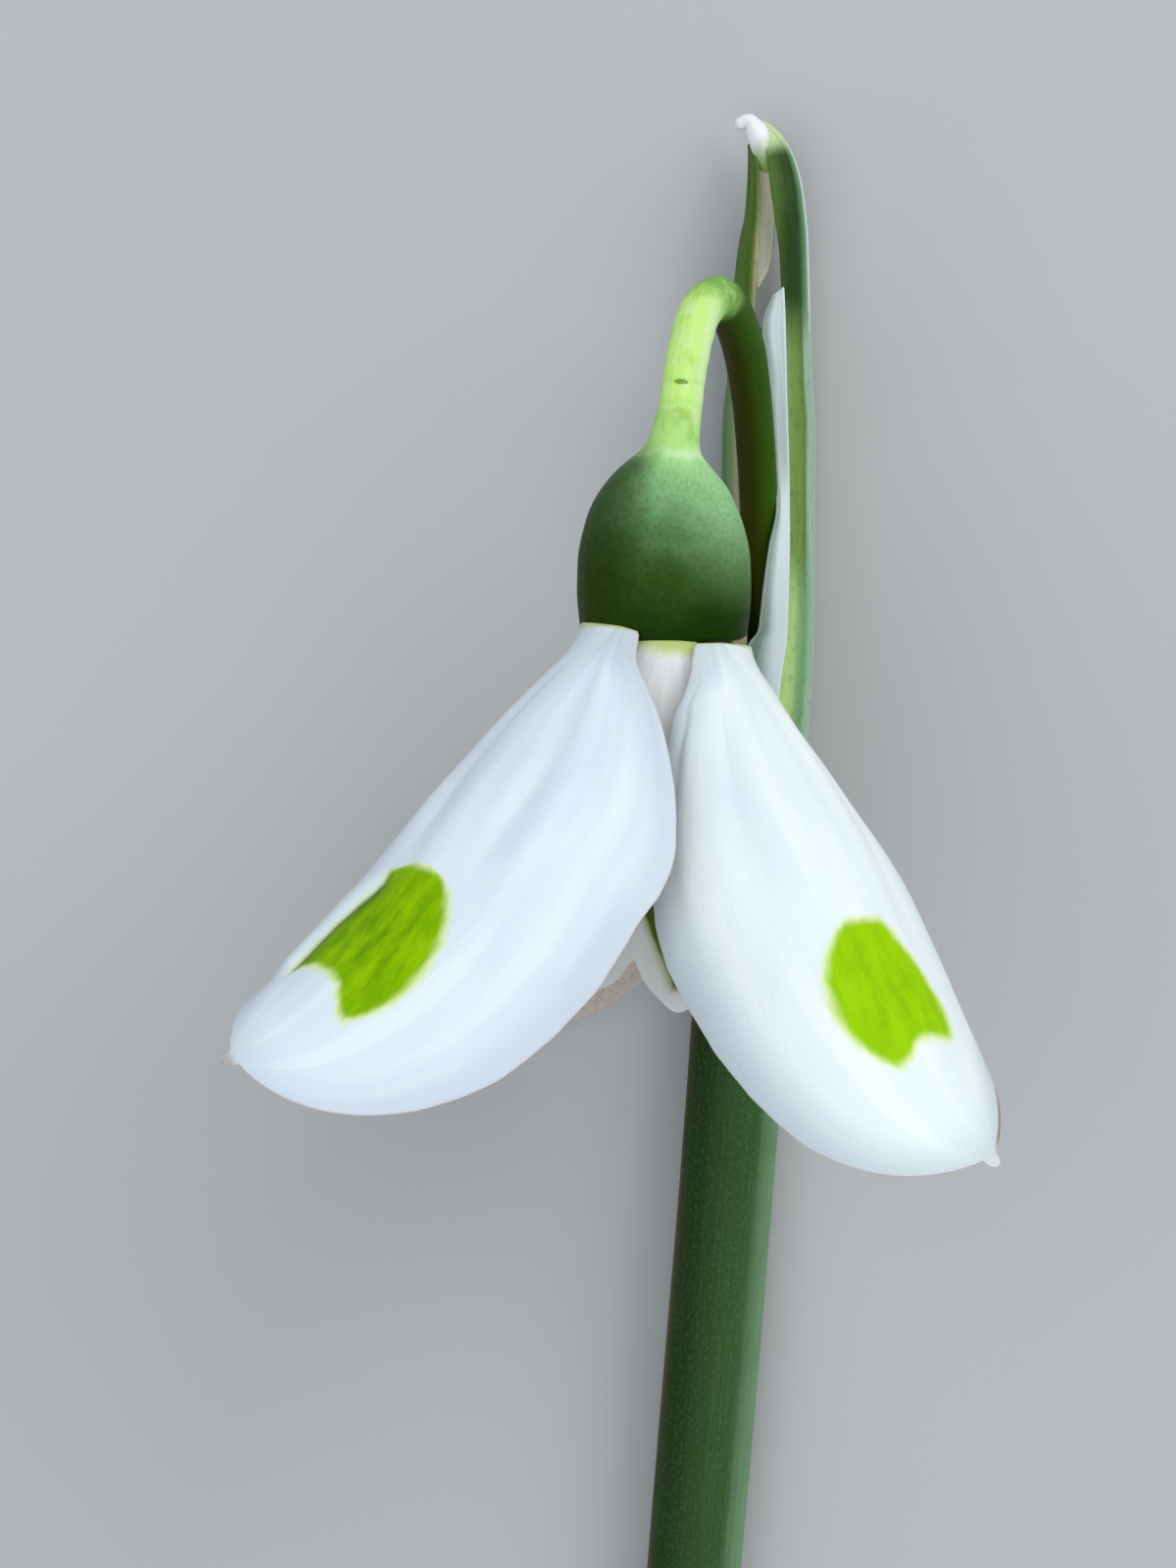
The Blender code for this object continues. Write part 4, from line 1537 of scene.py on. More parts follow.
def outer_petals() -> list[OuterPetal]:
    """Lists the flower's three outer petals.

    Returns:
        The left, the right and the rear petal.
    """
    return [
        OuterPetal(
            name="petal_outer_left", node="outer_petal_left",
            azimuth=-35.1, spread=(61.8, 39.2, 39.7), tip_flick=16.6, sway=-12.0, tip_sway=-23.0,
            roll=5.5, tip_roll=-15.6, curl=(0.28, 0.172, 0.189), near_side=1, near_curl=0.6,
            near_fullness=(0.6, 0.7, 0.97, 1.055, 0.97, 1.02, 1.05, 1.02, 0.9), far_curl=1.08, length=27.2,
            far_fullness=(2.5, 1.6, 1.28, 1.06, 0.79, 0.73, 0.74, 0.64, 0.35),
            flute_phase=0.2, crease=((16.6, 1.3), (17.9, 1.9), (19.0, 2.35), (20.3, 2.65), (21.7, 2.55)),
            tissue=OuterPetalFinish(
                mark=Mark(
                    near=((14.5, -1.6), (15.2, 0.1), (15.7, 1.3), (16.6, 2.05), (17.8, 2.6), (18.8, 2.8),
                          (19.8, 2.75), (20.8, 2.6), (21.5, 2.35), (22.0, 2.05), (22.6, 1.5)),
                    far=((14.5, -1.6), (15.2, 0.1), (15.7, 1.3), (16.4, 2.1), (17.3, 2.55), (18.5, 3.0),
                         (19.6, 3.35), (20.6, 3.45), (22.0, 3.45), (22.9, 3.2)),
                    start=15.35, aside=0.15,
                ),
                # a darker copy of the mark on this shaded petal: painted shade
                mark_light=colour(150, 200, 0), mark_dark=colour(108, 156, 0),
            ),
        ),
        OuterPetal(
            name="petal_outer_right", node="outer_petal_right",
            azimuth=41.2, spread=(56.6, 42.5, 26.6), tip_flick=21.2, sway=0.2, tip_sway=22.0,
            roll=0.9, tip_roll=10.6, curl=(0.28, 0.148, 0.151), near_side=-1, near_curl=1.16, length=27.35,
            near_fullness=(0.86, 0.9, 1.02, 1.05, 0.99, 0.995, 1.05, 1.08, 0.95), far_curl=1.1,
            cuff_rise=-0.12, far_fullness=(2.5, 1.65, 1.28, 0.95, 0.75, 0.8, 0.66, 0.52, 0.3),
            flute_phase=0.55, frills=((3.0, 0.4, 0.2), (4.0, 0.5, -0.1)),
            tissue=OuterPetalFinish(
                # a lighter copy of the blade: painted light; darker margins: painted shade
                light=colour(246, 255, 255), shade=colour(230, 242, 249), margin=colour(172, 184, 194),
                beak=colour(226, 224, 220), rust_side=-1.0,
                mark=Mark(
                    near=((14.5, -1.6), (15.2, 0.3), (15.8, 1.3), (16.8, 2.15), (17.8, 2.65), (18.8, 2.8),
                          (19.8, 2.7), (20.5, 2.5), (21.2, 2.15), (21.8, 1.65), (22.3, 1.0)),
                    far=((14.5, -1.6), (15.2, 0.2), (15.9, 0.75), (16.7, 1.15), (17.5, 1.6), (18.5, 2.0),
                         (19.6, 2.3), (20.4, 2.35), (21.0, 2.15), (21.5, 1.7), (21.9, 1.1)),
                    end=((-3.2, 21.5), (-2.5, 21.5), (-1.5, 21.25), (-0.6, 21.15), (0.0, 21.4),
                         (0.7, 22.0), (1.2, 22.15), (3.2, 22.15)),
                    start=15.65, aside=0.4,
                ),
            ),
        ),
        OuterPetal(
            name="petal_outer_rear", node="outer_petal_rear",
            azimuth=-152.0, spread=(56.0, 34.0, 27.0), tip_flick=1.0, sway=2.0, tip_sway=-5.0,
            roll=0.0, tip_roll=0.0, curl=(0.28, 0.148, 0.142), near_side=1, near_curl=1.0, length=25.7,
            flute_phase=0.85,
            # a darker, warmer copy of the inner face and its mottling: painted shade
            tissue=OuterPetalFinish(inner=colour(214, 200, 190), lining=colour(176, 164, 156)),
        ),
    ]


@dataclass
class InnerPetal:
    """One of the three inner petals, which together make a tube with a notched lip."""

    name: str
    node: str
    azimuth: float
    length: float = 14.9
    start: float = 0.05  # below the ovary
    half_widths: Pairs = ((0.0, 1.15), (0.25, 2.9), (0.5, 4.3), (0.75, 4.95), (1.0, 4.7))
    radii: Pairs = ((0.0, 2.95), (0.08, 3.0), (0.2, 3.3), (0.45, 4.1), (0.7, 4.6), (0.88, 4.75), (1.0, 5.1))
    spiral: float = 0.45  # one side edge is this much further from the axis than the middle
    spiral_share: float = 0.4
    slant: float = 0.0  # how much longer the right half of the lip is
    notch: float = 1.3
    notch_width: float = 0.2
    corner: float = 2.6  # how far the sides of the lip fall short of its middle
    lobe: float = 0.12  # how far its small lobes stand out
    rib_height: float = 0.05
    groove_depth: float = 0.16  # down the middle
    flare: float = 0.35  # how far the lip turns out beside the notch
    thickness: float = 0.34
    margin_thickness: float = 0.14
    rows: int = 110
    columns: int = 84

    def sheet(self, placement: Placement) -> Sheet:
        """The petal as a sheet.

        Args:
            placement: Where the flower lies.

        Returns:
            The petal's sheet, with its coordinate layers.
        """
        u = np.linspace(0, 1, self.rows)[:, None]
        v = np.linspace(-1, 1, self.columns)[None, :]
        notch = self.notch * np.exp(-np.abs(v / self.notch_width) ** 1.6)
        lobes = self.lobe * np.cos(v * math.pi * 5) * smoothstep(u, 0.8, 1.0)
        reach = self.length - notch - self.corner * np.abs(v) ** 3 + lobes
        reach = reach + self.slant * smoothstep(v, 0.12, 0.5)
        width = profile(self.half_widths, u)
        spiral = self.spiral * smoothstep(u, 0, self.spiral_share)
        radius = profile(self.radii, u) + spiral * v
        ribs = self.rib_height * np.cos(v * math.pi * 7) * smoothstep(u, 0.15, 0.5) * (1 - v ** 2)
        groove = self.groove_depth * bell(v, 0.0, 0.1) * smoothstep(u, 0.35, 0.8)
        flare = self.flare * smoothstep(u, 0.9, 1.0) * bell(np.abs(v), 0.42, 0.3)
        radius = radius + ribs - groove + flare
        angle = math.radians(self.azimuth) + v * width / profile(self.radii, u)
        outward = placement.outward(angle)
        middle = placement.base + (u * reach + self.start)[..., None] * placement.axis
        middle = middle + outward * radius[..., None]
        across = v * width
        along = u * reach
        edge = np.minimum(width * (1 - np.abs(v)), reach - along)
        thickness = self.margin_thickness + (self.thickness - self.margin_thickness) * (1 - v ** 2)
        thickness = np.broadcast_to(thickness, edge.shape) * smoothstep(reach - along, -0.5, 1.2)
        return Sheet(middle, outward, np.maximum(thickness, LEAST_THICKNESS), {
            Map.PLACE: pair(across, along),
            Map.SHARE: pair(v, u),
            Map.EDGE: pair(edge, edge),
        })

    def build(self, placement: Placement) -> None:
        """Makes the petal, dresses it and lets it stand for its node.

        Args:
            placement: Where the flower lies.
        """
        piece = self.sheet(placement).build(self.name, placement)
        finish = InnerPetalFinish(name=self.name + "_tissue", length=self.length)
        install(piece, [finish.material()], [self.node])


def inner_petals() -> list[InnerPetal]:
    """Lists the flower's three inner petals.

    Returns:
        The front petal and the two rear ones.
    """
    return [
        InnerPetal(
            "petal_inner_front", "inner_petal_front", 2.0, notch=1.65, notch_width=0.12, slant=0.6,
            radii=((0.0, 3.24), (0.08, 3.28), (0.2, 3.7), (0.45, 4.35), (0.7, 4.7), (0.88, 4.8), (1.0, 5.1)),
        ),
        InnerPetal("petal_inner_rear_right", "inner_petal_rear_right", 122.0),
        InnerPetal("petal_inner_rear_left", "inner_petal_rear_left", -118.0),
    ]


@dataclass
class Stamens:
    """Six stamens in a ring, each a short filament with a pointed two-lobed anther."""

    count: int = 6
    ring_radius: float = 1.25
    inset: float = 0.02  # of the feet, above the base of the petals
    filament_length: float = 1.4
    filament_radius: float = 0.16
    anther_length: float = 5.8
    anther_radius: float = 0.46
    lean: float = 0.045  # towards the axis, per millimetre of length
    furrow: float = 0.2  # between the anther's two lobes, as a share of its radius
    columns: int = 40
    anther_profile: Pairs = (
        (0.0, 0.35), (0.04, 0.7), (0.12, 0.95), (0.45, 0.9), (0.8, 0.6), (0.93, 0.3), (1.0, 0.08),
    )

    def build(self, placement: Placement) -> None:
        """Makes the stamens, each standing for its node.

        Args:
            placement: Where the flower lies.
        """
        finish = AntherFinish(start=self.filament_length).material()
        along = np.concatenate([
            np.linspace(0, self.filament_length, 14),
            self.filament_length + self.anther_length * np.linspace(0.004, 1, 70),
        ])
        share = (along - self.filament_length) / self.anther_length
        anther = self.anther_radius * profile(self.anther_profile, share)
        radii = np.where(share < 0, self.filament_radius, np.maximum(anther, 0.03))
        angles = ring_angles(self.columns)
        groove = 1 - self.furrow * np.abs(np.sin(angles)) ** 6 - 0.1 * np.abs(np.cos(angles)) ** 12
        shape = np.where(share[:, None] < 0, 1.0, groove[None, :])
        for number in range(self.count):
            outward = placement.outward(math.tau * (number + 0.5) / self.count)
            foot = placement.base - placement.axis * self.inset + outward * self.ring_radius
            route = foot + np.outer(along, placement.axis) - np.outer(along * self.lean, outward)
            side = np.cross(outward, placement.axis)
            tube = Tube(route, radii[:, None] * shape, side, self.columns, caps=(0.3, 0.8))
            piece = tube.build(f"stamen_body_{number + 1}", placement)
            install(piece, [finish], [f"stamen_{number + 1}"])


@dataclass
class Style:
    """The slender style between the stamens."""

    length: float = STYLE_LENGTH
    radius: float = 0.25
    bow: float = 0.06
    widths: Pairs = ((0.0, 1.15), (0.33, 1.0), (0.66, 0.9), (0.93, 0.72), (0.97, 0.8), (1.0, 0.45))

    def build(self, placement: Placement) -> None:
        """Makes the style, which stands for its node.

        Args:
            placement: Where the flower lies.
        """
        share = np.linspace(0, 1, 80)
        foot = placement.base - placement.axis * STYLE_INSET
        bow = self.bow * np.sin(share * math.pi)
        route = foot + np.outer(share * self.length, placement.axis) + np.outer(bow, placement.right)
        tube = Tube(route, self.radius * profile(self.widths, share), placement.right, 28)
        install(tube.build("style_body", placement), [StyleFinish().material()], ["style"])


@dataclass
class Ovary:
    """The ovary, which bends from the flower's axis into the stalk and narrows to a neck there."""

    points: Sequence[Point] = (
        (3.28, 6.3, 17.5), (3.27, 9.0, 17.68), (3.3, 11.0, 17.8), (3.41, 12.5, 17.9), (3.54, 13.75, 17.96),
        (3.68, 14.7, 18.0), (3.84, 15.7, 18.02),
    )
    length: float = 7.7  # from the petals to where the neck starts; radii holds shares of it
    radii: Pairs = (
        (0.0, 3.5), (0.08, 3.6), (0.25, 3.7), (0.41, 3.67), (0.62, 3.36), (0.81, 2.69), (0.87, 2.36),
        (0.93, 1.92), (0.97, 1.6), (1.01, 1.32), (1.04, 1.18), (1.11, 1.04), (1.21, 0.95),
    )
    lobing: float = 0.012
    waviness: float = 0.0025
    columns: int = 120

    def build(self, placement: Placement) -> None:
        """Makes the ovary, which stands for its node.

        Args:
            placement: Where the flower lies.
        """
        route = smooth_route(self.points, 150)
        share = distances(route) / self.length
        angles = ring_angles(self.columns)
        fade = smoothstep(share, 1.0, 0.6)[:, None]
        waves = self.waviness * np.cos(17 * angles) * np.cos(5 * angles)
        lobes = self.lobing * np.cos(3 * (angles - 0.6)) + waves
        radii = profile(self.radii, share)[:, None] * (1 + fade * lobes)
        tube = Tube(route, radii, placement.right, self.columns, caps=(0.12, 0.3))
        install(tube.build("ovary_body", placement), [OvaryFinish().material()], ["ovary"])


# ---- the green parts


EVEN: Pairs = ((0.0, 1.0), (40.0, 1.0))


@dataclass
class Pedicel:
    """The flower's own stalk, which rises out of the spathe, arches over and ends in the ovary's neck."""

    points: Sequence[Point] = (
        (7.6, 0.3, 2.2), (7.76, 4.0, 2.25), (7.84, 7.1, 2.45), (7.78, 10.3, 3.0), (7.56, 14.0, 4.7),
        (7.2, 17.3, 7.5), (6.66, 19.6, 10.3), (5.74, 21.0, 13.3), (4.8, 20.2, 15.8), (4.24, 18.2, 17.4),
        (3.96, 16.3, 18.0), (3.84, 15.2, 18.02), (3.76, 14.5, 18.0),
    )
    radii: Pairs = (
        (0.0, 0.9), (0.35, 0.87), (0.5, 0.88), (0.62, 0.93), (0.8, 0.92), (0.95, 0.92), (1.0, 0.95),
    )
    rib_height: float = 0.012  # a share of the radius
    scar_depth: float = 0.05
    scar_half_length: float = 0.14
    columns: int = 64

    def build(self, placement: Placement) -> None:
        """Makes the stalk, which stands for its node.

        Args:
            placement: Where the flower lies.
        """
        route = smooth_route(self.points, 260)
        share = np.linspace(0, 1, len(route))
        length = float(distances(route)[-1])
        crest = float(distances(route)[np.argmax(route[:, 1])])
        angles = ring_angles(self.columns)
        rings = ripple(share * length, [(0.008, 0.55, 0.0), (0.006, 0.9, 0.35)])
        near_end = smoothstep(share, 0.6, 0.85)
        scar = bell(share * length, length - SCAR_PLACE, self.scar_half_length)
        scar = -self.scar_depth * np.outer(scar, bell(np.abs(angles), math.pi, 0.4))
        ribs = self.rib_height * np.cos(6 * angles + 0.8)[None, :]
        radii = profile(self.radii, share)[:, None] * (1 + ribs) + (rings * near_end)[:, None] + scar
        tube = Tube(route, radii, RIGHT, self.columns)
        finish = PedicelFinish(crest=crest, length=length)
        install(tube.build("pedicel_body", placement), [finish.material()], ["pedicel"])


@dataclass
class Stem:
    """The stem, which lies on the surface all along and ends in a clean cut."""

    points: Pairs = ((2.6, -60.0), (4.95, -33.4), (6.45, -15.5), (7.4, -2.0), (7.62, 1.6))
    cut_radius: float = 2.1
    top_radius: float = 2.15
    tucked_radius: float = 1.86  # inside the sheath
    shrinkage: float = 0.008  # keeps the ribs within the plain radius
    columns: int = 96

    def build(self, placement: Placement) -> None:
        """Makes the stem, which stands for its node.

        Args:
            placement: Where the flower lies.
        """
        plan = smooth_route(self.points, 300)
        share = np.linspace(0, 1, len(plan))
        height = self.cut_radius + (self.top_radius - self.cut_radius) * share
        radii = height + (self.tucked_radius - self.top_radius) * smoothstep(plan[:, 1], -1.4, 0.3)
        route = np.column_stack([plan, height])
        angles = ring_angles(self.columns)
        ribs = 0.006 * np.cos(13 * angles + 0.5) + 0.004 * np.cos(21 * angles + 2.0)
        slow = 0.006 * np.sin(share * 19 + 1.0)[:, None] * np.cos(2 * angles - 0.6)[None, :]
        radii = radii[:, None] * (1 + ribs[None, :] + slow - self.shrinkage)
        tube = Tube(route, radii, RIGHT, self.columns, caps=(0.04, 0.2), cut=True)
        piece = tube.build("stem_body", placement)
        finishes = [StemFinish().material(), CutFinish(radius=self.cut_radius).material()]
        install(piece, finishes, ["stem"])


@dataclass
class Spathe:
    """The bract that sheathed the bud: two green valves, papery membranes and a fleshy hooked tip."""

    route: Sequence[Point] = (
        (7.55, 0.15, 2.2), (7.85, 3.1, 2.2), (8.05, 6.2, 2.2), (8.12, 9.0, 2.2), (8.15, 15.5, 2.25),
        (8.25, 22.5, 2.5), (8.28, 26.5, 2.7), (7.95, 28.6, 2.8), (7.3, 29.5, 2.85),
    )
    half_widths: Pairs = (
        (0.15, 2.08), (1.6, 2.15), (4.4, 2.13), (7.6, 2.12), (16.0, 2.1), (18.2, 1.93), (21.0, 1.78),
        (23.0, 1.7), (24.5, 1.62), (25.9, 1.48), (26.9, 1.36), (27.9, 1.18), (28.7, 0.95), (29.5, 0.6),
    )
    depth_ratio: float = 0.96
    thickness: float = 0.42
    margin_thickness: float = 0.14
    membrane_thickness: float = 0.11
    rib_height: float = 0.02
    back_inset: float = 0.22  # of the back membrane, inside the valves
    start: float = 0.15  # of the valves, as the Y of the route
    hood_route: Sequence[Point] = (
        (7.98, 27.4, 2.9), (7.93, 28.4, 3.12), (7.66, 29.2, 3.2), (7.28, 29.78, 3.12), (6.86, 29.7, 3.0),
    )
    hood_radii: Pairs = ((0.0, 0.12), (0.2, 0.46), (0.45, 0.6), (0.68, 0.49), (0.84, 0.35), (1.0, 0.32))
    hood_side: Point = (0.7, 0.7, 0.0)
    hood_columns: int = 48

    def wall(self, along: Array, angle: Array, squeeze: Pairs = EVEN) -> tuple[Array, Array]:
        """Points on the spathe's round wall.

        Args:
            along: Distance from the foot, as the Y of the route, in rows.
            angle: Radians round from the underside towards +X, rows by columns.
            squeeze: Shares of the wall's width, by distance.

        Returns:
            The points and the outward directions, rows by columns by 3.
        """
        fine = smooth_route(self.route, 400)
        heading = unit(np.gradient(fine, axis=0))
        level = [np.interp(along, fine[:, 1], values) for values in (*fine.T, *heading.T)]
        centre, heading = np.stack(level[:3], -1), np.stack(level[3:], -1)
        side = unit(np.cross(heading, UP))[:, None]
        width = (profile(self.half_widths, along) * profile(squeeze, along))[:, None, None]
        sine, cosine = np.sin(angle)[..., None], np.cos(angle)[..., None]
        out = sine * side - cosine * UP
        return centre[:, None] + width * sine * side - width * self.depth_ratio * cosine * UP, out

    def valve(self, first: Pairs, last: Pairs, ends: tuple[float, float], squeeze: Pairs = EVEN,
              rows: int = 150, columns: int = 56) -> Sheet:
        """A strip of the wall between two angles.

        Args:
            first: The angle in degrees of one margin, by distance.
            last: The angle of the other margin.
            ends: Where the strip starts and ends along the route.
            squeeze: Shares of the wall's width, by distance.
            rows: Points along it.
            columns: Points across it.

        Returns:
            The strip's sheet.
        """
        along = np.linspace(*ends, rows)
        low, high = (np.radians(profile(margin, along))[:, None] for margin in (first, last))
        v = np.linspace(0, 1, columns)[None, :]
        angle = low + (high - low) * v
        points, out = self.wall(along, angle, squeeze)
        reach = profile(self.half_widths, along)[:, None] * np.abs(high - low)
        edge = reach * np.minimum(v, 1 - v)
        taper = smoothstep(ends[1] - along, -0.6, 1.5) * smoothstep(along - ends[0], -0.5, 1.4)
        swell = self.thickness - self.margin_thickness
        thickness = (self.margin_thickness + swell * smoothstep(edge, 0, 1.1)) * taper[:, None]
        points = points - out * thickness[..., None] / 2
        ribs = self.rib_height * np.cos(angle * 15 + 0.4) * smoothstep(edge, 0.1, 0.8)
        points = points + out * ribs[..., None]
        length = np.broadcast_to(along[:, None], angle.shape)
        return Sheet(points, out, np.maximum(thickness, LEAST_THICKNESS), {
            Map.PLACE: pair(np.abs(angle) / math.pi, length),
            Map.SHARE: pair(2 * v - 1, (length - ends[0]) / (ends[1] - ends[0])),
            Map.EDGE: pair(edge, edge),
        })

    def membrane(self, left: Route, right: Route, sag: float, folds: float, outside: Array, rows: int,
                 columns: int = 26) -> Sheet:
        """A papery sheet stretched between two edges.

        Args:
            left: Points of one edge.
            right: Points of the other, in the same direction.
            sag: How far the middle hangs back from the straight line across.
            folds: The height of its lengthwise folds.
            outside: A direction on its outer side.
            rows: Points along it.
            columns: Points across it.

        Returns:
            The membrane's sheet.
        """
        v = np.linspace(0, 1, columns)[None, :, None]
        first, second = smooth_route(left, rows)[:, None], smooth_route(right, rows)[:, None]
        middle = first * (1 - v) + second * v
        width = np.linalg.norm(second - first, axis=-1)
        along = np.broadcast_to(distances((first + second)[:, 0] / 2)[:, None], (rows, columns))
        v = np.broadcast_to(v[..., 0], (rows, columns))
        u = np.broadcast_to(np.linspace(0, 1, rows)[:, None], (rows, columns))
        edge = np.minimum(width * np.minimum(v, 1 - v), np.minimum(along, along.max() - along))
        crumple = ripple(v * 1.6 + 0.15 * np.sin(along * 0.7), [(0.6, 1.0, 0.1), (0.4, 2.3, 0.4)])
        height = folds * crumple * np.sin(math.pi * v) - sag * np.sin(math.pi * v)
        sheet = Sheet(middle, outside, np.full((rows, columns), self.membrane_thickness), {
            Map.PLACE: pair(v * width, along),
            Map.SHARE: pair(2 * v - 1, u),
            Map.EDGE: pair(edge, edge),
            Map.FOLD: pair(height, height),
        })
        sheet.displace(sheet.maps[Map.FOLD][..., 0])
        return sheet

    def build(self, placement: Placement) -> None:
        """Makes the spathe's pieces, which together stand for its node.

        Args:
            placement: Where the flower lies.
        """
        self.build_valves(placement)
        self.build_membranes(placement)
        self.build_hood(placement)

    def build_valves(self, placement: Placement) -> None:
        """Makes the two green valves.

        Args:
            placement: Where the flower lies.
        """
        right = self.valve(
            first=((0.15, 8.0), (16.0, 14.0), (22.0, 30.0), (26.0, 40.0), (29.4, 60.0)),
            last=((0.15, 163.0), (4.0, 163.0), (6.5, 157.0), (9.4, 156.0), (16.0, 158.5), (18.2, 160.0),
                  (20.7, 162.0), (23.5, 166.0), (25.6, 176.0), (27.1, 182.0), (29.4, 176.0)),
            ends=(self.start, 29.35),
        ).build("spathe_right_valve", placement)
        install(right, [self.right_skin().material()], ["spathe"])
        left = self.valve(
            first=((0.15, -163.0), (7.0, -150.0), (14.0, -138.0), (18.0, -146.0), (23.2, -151.0),
                   (26.6, -145.0), (28.8, -140.0)),
            last=((0.15, -8.0), (16.0, -20.0), (22.0, -40.0), (28.8, -62.0)),
            ends=(self.start, 29.1),
            squeeze=((0.0, 1.0), (15.0, 1.0), (22.8, 0.96), (24.6, 0.89), (25.5, 0.82), (29.0, 0.8)),
        ).build("spathe_left_valve", placement)
        install(left, [self.left_skin().material()], ["spathe"])

    @staticmethod
    def right_skin() -> ValveFinish:
        """Chooses the right valve's stripes, from the back at 0 degrees round to its inner margin.

        Returns:
            The valve's finish.
        """
        back, beige = colour(100, 140, 96), colour(196, 190, 168)
        bloom, white = colour(168, 200, 176), colour(222, 238, 230)
        foot = ((0.0, back), (82.0, beige), (92.0, beige), (104.0, colour(168, 204, 172)),
                (118.0, colour(156, 196, 160)), (126.0, colour(120, 164, 118)),
                (140.0, colour(122, 168, 114)),
                (148.0, colour(188, 222, 140)), (163.0, colour(184, 218, 138)))
        middle = ((0.0, back), (82.0, beige), (92.0, beige), (102.0, bloom), (124.0, bloom),
                  (129.0, colour(78, 108, 50)), (136.0, colour(112, 146, 64)),
                  (152.0, colour(124, 154, 70)), (163.0, colour(140, 176, 130)))
        top = ((0.0, back), (82.0, beige), (89.0, white), (101.0, white), (111.0, colour(160, 198, 172)),
               (123.0, colour(62, 104, 52)), (134.0, colour(34, 66, 16)), (152.0, colour(30, 58, 0)),
               (163.0, colour(38, 68, 0)), (172.0, colour(74, 104, 36)))
        return ValveFinish("right_valve_skin", ((0.0, foot), (9.3, middle), (20.5, top)),
                           line=colour(48, 76, 20))

    @staticmethod
    def left_skin() -> ValveFinish:
        """Chooses the left valve's stripes, from the back at 0 degrees round to its inner margin.

        Returns:
            The valve's finish.
        """
        back, tan = colour(90, 126, 84), colour(184, 176, 136)
        low = ((0.0, back), (84.0, colour(104, 136, 92)), (112.0, colour(96, 130, 78)),
               (126.0, colour(122, 152, 104)), (134.0, tan), (160.0, tan))
        high = ((0.0, back), (88.0, colour(60, 58, 24)), (100.0, colour(92, 112, 52)),
                (120.0, colour(84, 114, 36)), (138.0, colour(76, 106, 22)), (146.0, colour(80, 104, 30)),
                (151.0, tan), (160.0, tan))
        return ValveFinish("left_valve_skin", ((0.0, low), (20.0, high)), tip=colour(96, 92, 54),
                           speck=colour(70, 90, 40))

    def build_membranes(self, placement: Placement) -> None:
        """Makes the papery sheets between the valves.

        Args:
            placement: Where the flower lies.
        """
        front = self.membrane(
            left=((5.9, 0.4, 3.6), (6.2, 2.4, 4.1), (6.75, 4.8, 4.25), (7.2, 6.2, 4.3), (7.62, 6.8, 4.3),
                  (7.74, 7.5, 4.35), (7.9, 9.0, 4.5), (8.14, 10.7, 4.6), (8.44, 12.2, 4.5),
                  (8.36, 14.0, 4.2), (8.2, 15.8, 4.0), (8.1, 18.2, 3.9), (7.88, 19.8, 3.8),
                  (7.9, 20.9, 3.8), (8.3, 21.9, 3.9)),
            right=((8.2, 0.4, 3.85), (8.35, 2.4, 4.2), (8.6, 4.8, 4.24), (8.82, 6.2, 4.24), (8.9, 7.5, 4.26),
                   (8.98, 10.6, 4.3), (8.96, 14.0, 4.25), (8.86, 17.6, 4.15), (8.8, 20.6, 4.1),
                   (8.74, 22.2, 4.1)),
            sag=0.06, folds=0.012, outside=UP, rows=140,
        ).build("spathe_front_membrane", placement)
        finish = MembraneFinish("front_membrane_tissue", colour(244, 253, 255), colour(132, 154, 138), 0.12,
                                reach=0.75, slant=0.55, dense_end=0.45)
        install(front, [finish.material()])

        upper = self.membrane(
            left=((7.4, 22.35, 3.4), (7.36, 23.4, 3.4), (7.36, 25.2, 3.3), (7.34, 27.2, 3.1),
                  (7.3, 28.9, 3.0)),
            right=((7.62, 22.3, 3.5), (8.16, 23.4, 3.2), (8.36, 25.2, 3.1), (8.42, 27.2, 3.1),
                   (8.1, 28.9, 3.1)),
            sag=0.04, folds=0.02, outside=UP, rows=70,
        ).build("spathe_upper_membrane", placement)
        finish = MembraneFinish("upper_membrane_tissue", colour(230, 226, 196), colour(216, 212, 192),
                                0.06)
        install(upper, [finish.material()])

        along = np.linspace(0.3, 20.6, 24)
        left, right = (self.wall(along, np.full((len(along), 1), math.radians(angle)))[0][:, 0]
                       for angle in (-27.0, 22.0))
        inwards = self.back_inset * UP
        back = self.membrane(
            left=left + inwards, right=right + inwards,
            sag=-0.1, folds=0.05, outside=-UP, rows=100,
        ).build("spathe_back_membrane", placement)
        finish = MembraneFinish("back_membrane_tissue", colour(186, 198, 186), colour(150, 160, 150),
                                0.15)
        install(back, [finish.material()])

    def build_hood(self, placement: Placement) -> None:
        """Makes the fleshy hook at the tip.

        Args:
            placement: Where the flower lies.
        """
        route = smooth_route(self.hood_route, 80)
        radii = profile(self.hood_radii, np.linspace(0, 1, len(route)))
        angles = ring_angles(self.hood_columns)
        shape = 1 + 0.06 * np.cos(2 * angles + 0.6) + 0.03 * np.cos(5 * angles)
        radii = radii[:, None] * shape[None, :]
        tube = Tube(route, radii, np.array(self.hood_side), self.hood_columns, caps=(0.6, 0.9))
        install(tube.build("spathe_hood", placement), [HoodFinish().material()])


# ---- the studio


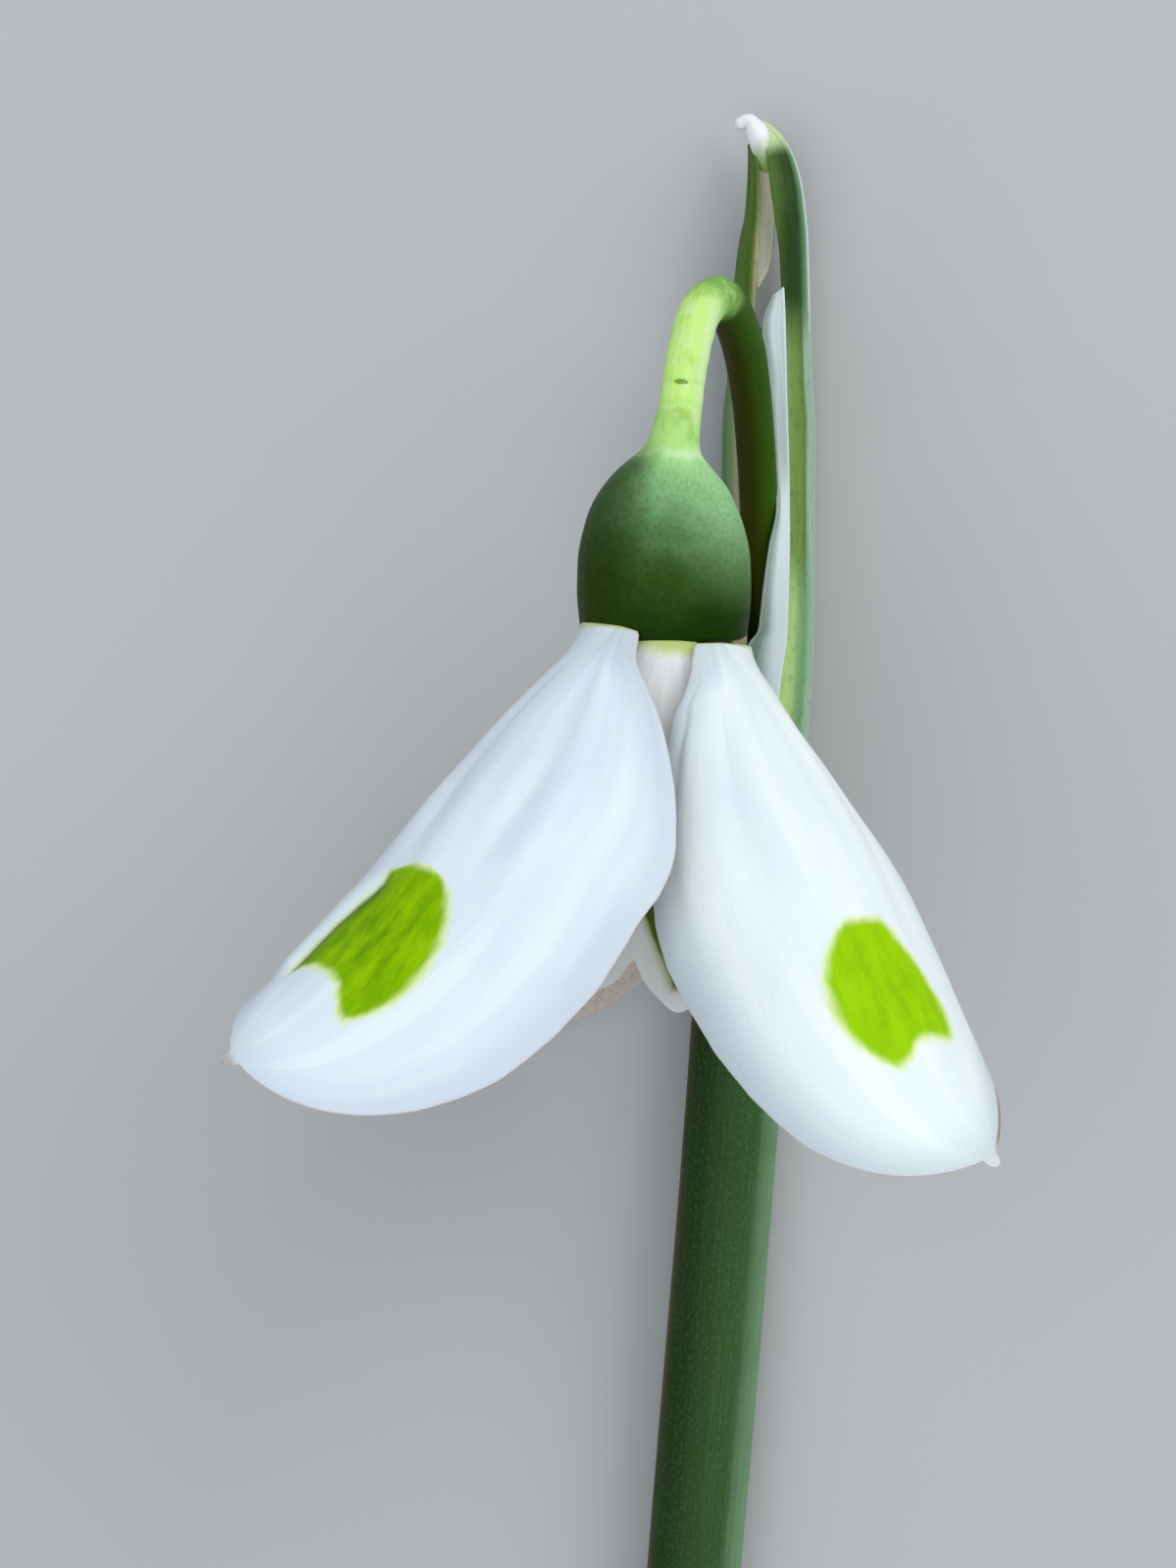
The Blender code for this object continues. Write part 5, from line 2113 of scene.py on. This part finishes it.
@dataclass
class Studio:
    """A plain pale floor, soft light and the camera, which looks straight down."""

    camera_height: float = 270.0
    lens: float = 136.35
    sensor_width: float = 36.0
    floor_half_width: float = 2.5  # metres
    key_place: Point = (0.52, 0.46, 0.62)  # metres from the flower
    key_size: float = 0.85
    key_power: float = 4.8
    key_tint: Colour = (1.0, 0.99, 0.97)
    fill_place: Point = (-0.25, -0.1, 0.75)
    fill_size: float = 0.7
    fill_power: float = 2.2
    fill_tint: Colour = (0.93, 0.97, 1.0)
    sky: Colour = (0.86, 0.93, 1.0)
    sky_strength: float = 0.47

    def add_light(self, name: str, place: Point, size: float, power: float, tint: Colour,
                  target: Vector) -> None:
        """Adds a soft square lamp that looks at the flower.

        Args:
            name: The lamp's name.
            place: Where it stands, in metres from the target.
            size: The length of its side in metres.
            power: Watts.
            tint: Its colour.
            target: The point it looks at.
        """
        lamp = bpy.data.lights.new(name, "AREA")
        lamp.shape = "SQUARE"
        lamp.size = size
        lamp.energy = power
        lamp.color = tint
        stand = bpy.data.objects.new(name, lamp)
        stand.location = target + Vector(place)
        stand.rotation_euler = (-Vector(place)).to_track_quat("-Z", "Y").to_euler()
        bpy.context.scene.collection.objects.link(stand)

    def build(self, placement: Placement) -> None:
        """Adds the camera, the floor and the lights.

        Args:
            placement: Where the flower lies.
        """
        scene = bpy.context.scene
        scene.view_settings.view_transform = "Standard"
        camera = bpy.data.cameras.new("camera")
        camera.sensor_width = self.sensor_width
        camera.lens = self.lens
        camera.clip_start = 0.01
        camera.clip_end = 50.0
        viewer = bpy.data.objects.new("camera", camera)
        viewer.location = placement.metres([0.0, 0.0, self.camera_height])
        scene.collection.objects.link(viewer)
        scene.camera = viewer

        half = self.floor_half_width
        mesh = bpy.data.meshes.new("floor")
        corners = [(-half, -half, 0.0), (half, -half, 0.0), (half, half, 0.0), (-half, half, 0.0)]
        mesh.from_pydata(corners, [], [(0, 1, 2, 3)])
        mesh.materials.append(FloorFinish().material())
        floor = bpy.data.objects.new("floor", mesh)
        floor.location.z = placement.metres([0.0, 0.0, 0.0])[2]
        scene.collection.objects.link(floor)
        floor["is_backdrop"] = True

        world = bpy.data.worlds.new("sky")
        world.use_nodes = True
        background = world.node_tree.nodes["Background"]
        background.inputs["Color"].default_value = (*self.sky, 1.0)
        background.inputs["Strength"].default_value = self.sky_strength
        scene.world = world
        target = Vector(placement.metres(placement.base))
        self.add_light("key", self.key_place, self.key_size, self.key_power, self.key_tint, target)
        self.add_light("fill", self.fill_place, self.fill_size, self.fill_power, self.fill_tint, target)


def main() -> None:
    """Loads the frame and builds every piece round it."""
    logging.basicConfig(level=logging.INFO, format="%(name)s: %(message)s")
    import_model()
    placement = Placement.from_frame()
    Studio().build(placement)
    Stem().build(placement)
    Spathe().build(placement)
    Pedicel().build(placement)
    Ovary().build(placement)
    for petal in [*outer_petals(), *inner_petals()]:
        petal.build(placement)
    Stamens().build(placement)
    Style().build(placement)


if __name__ == "__main__":
    main()
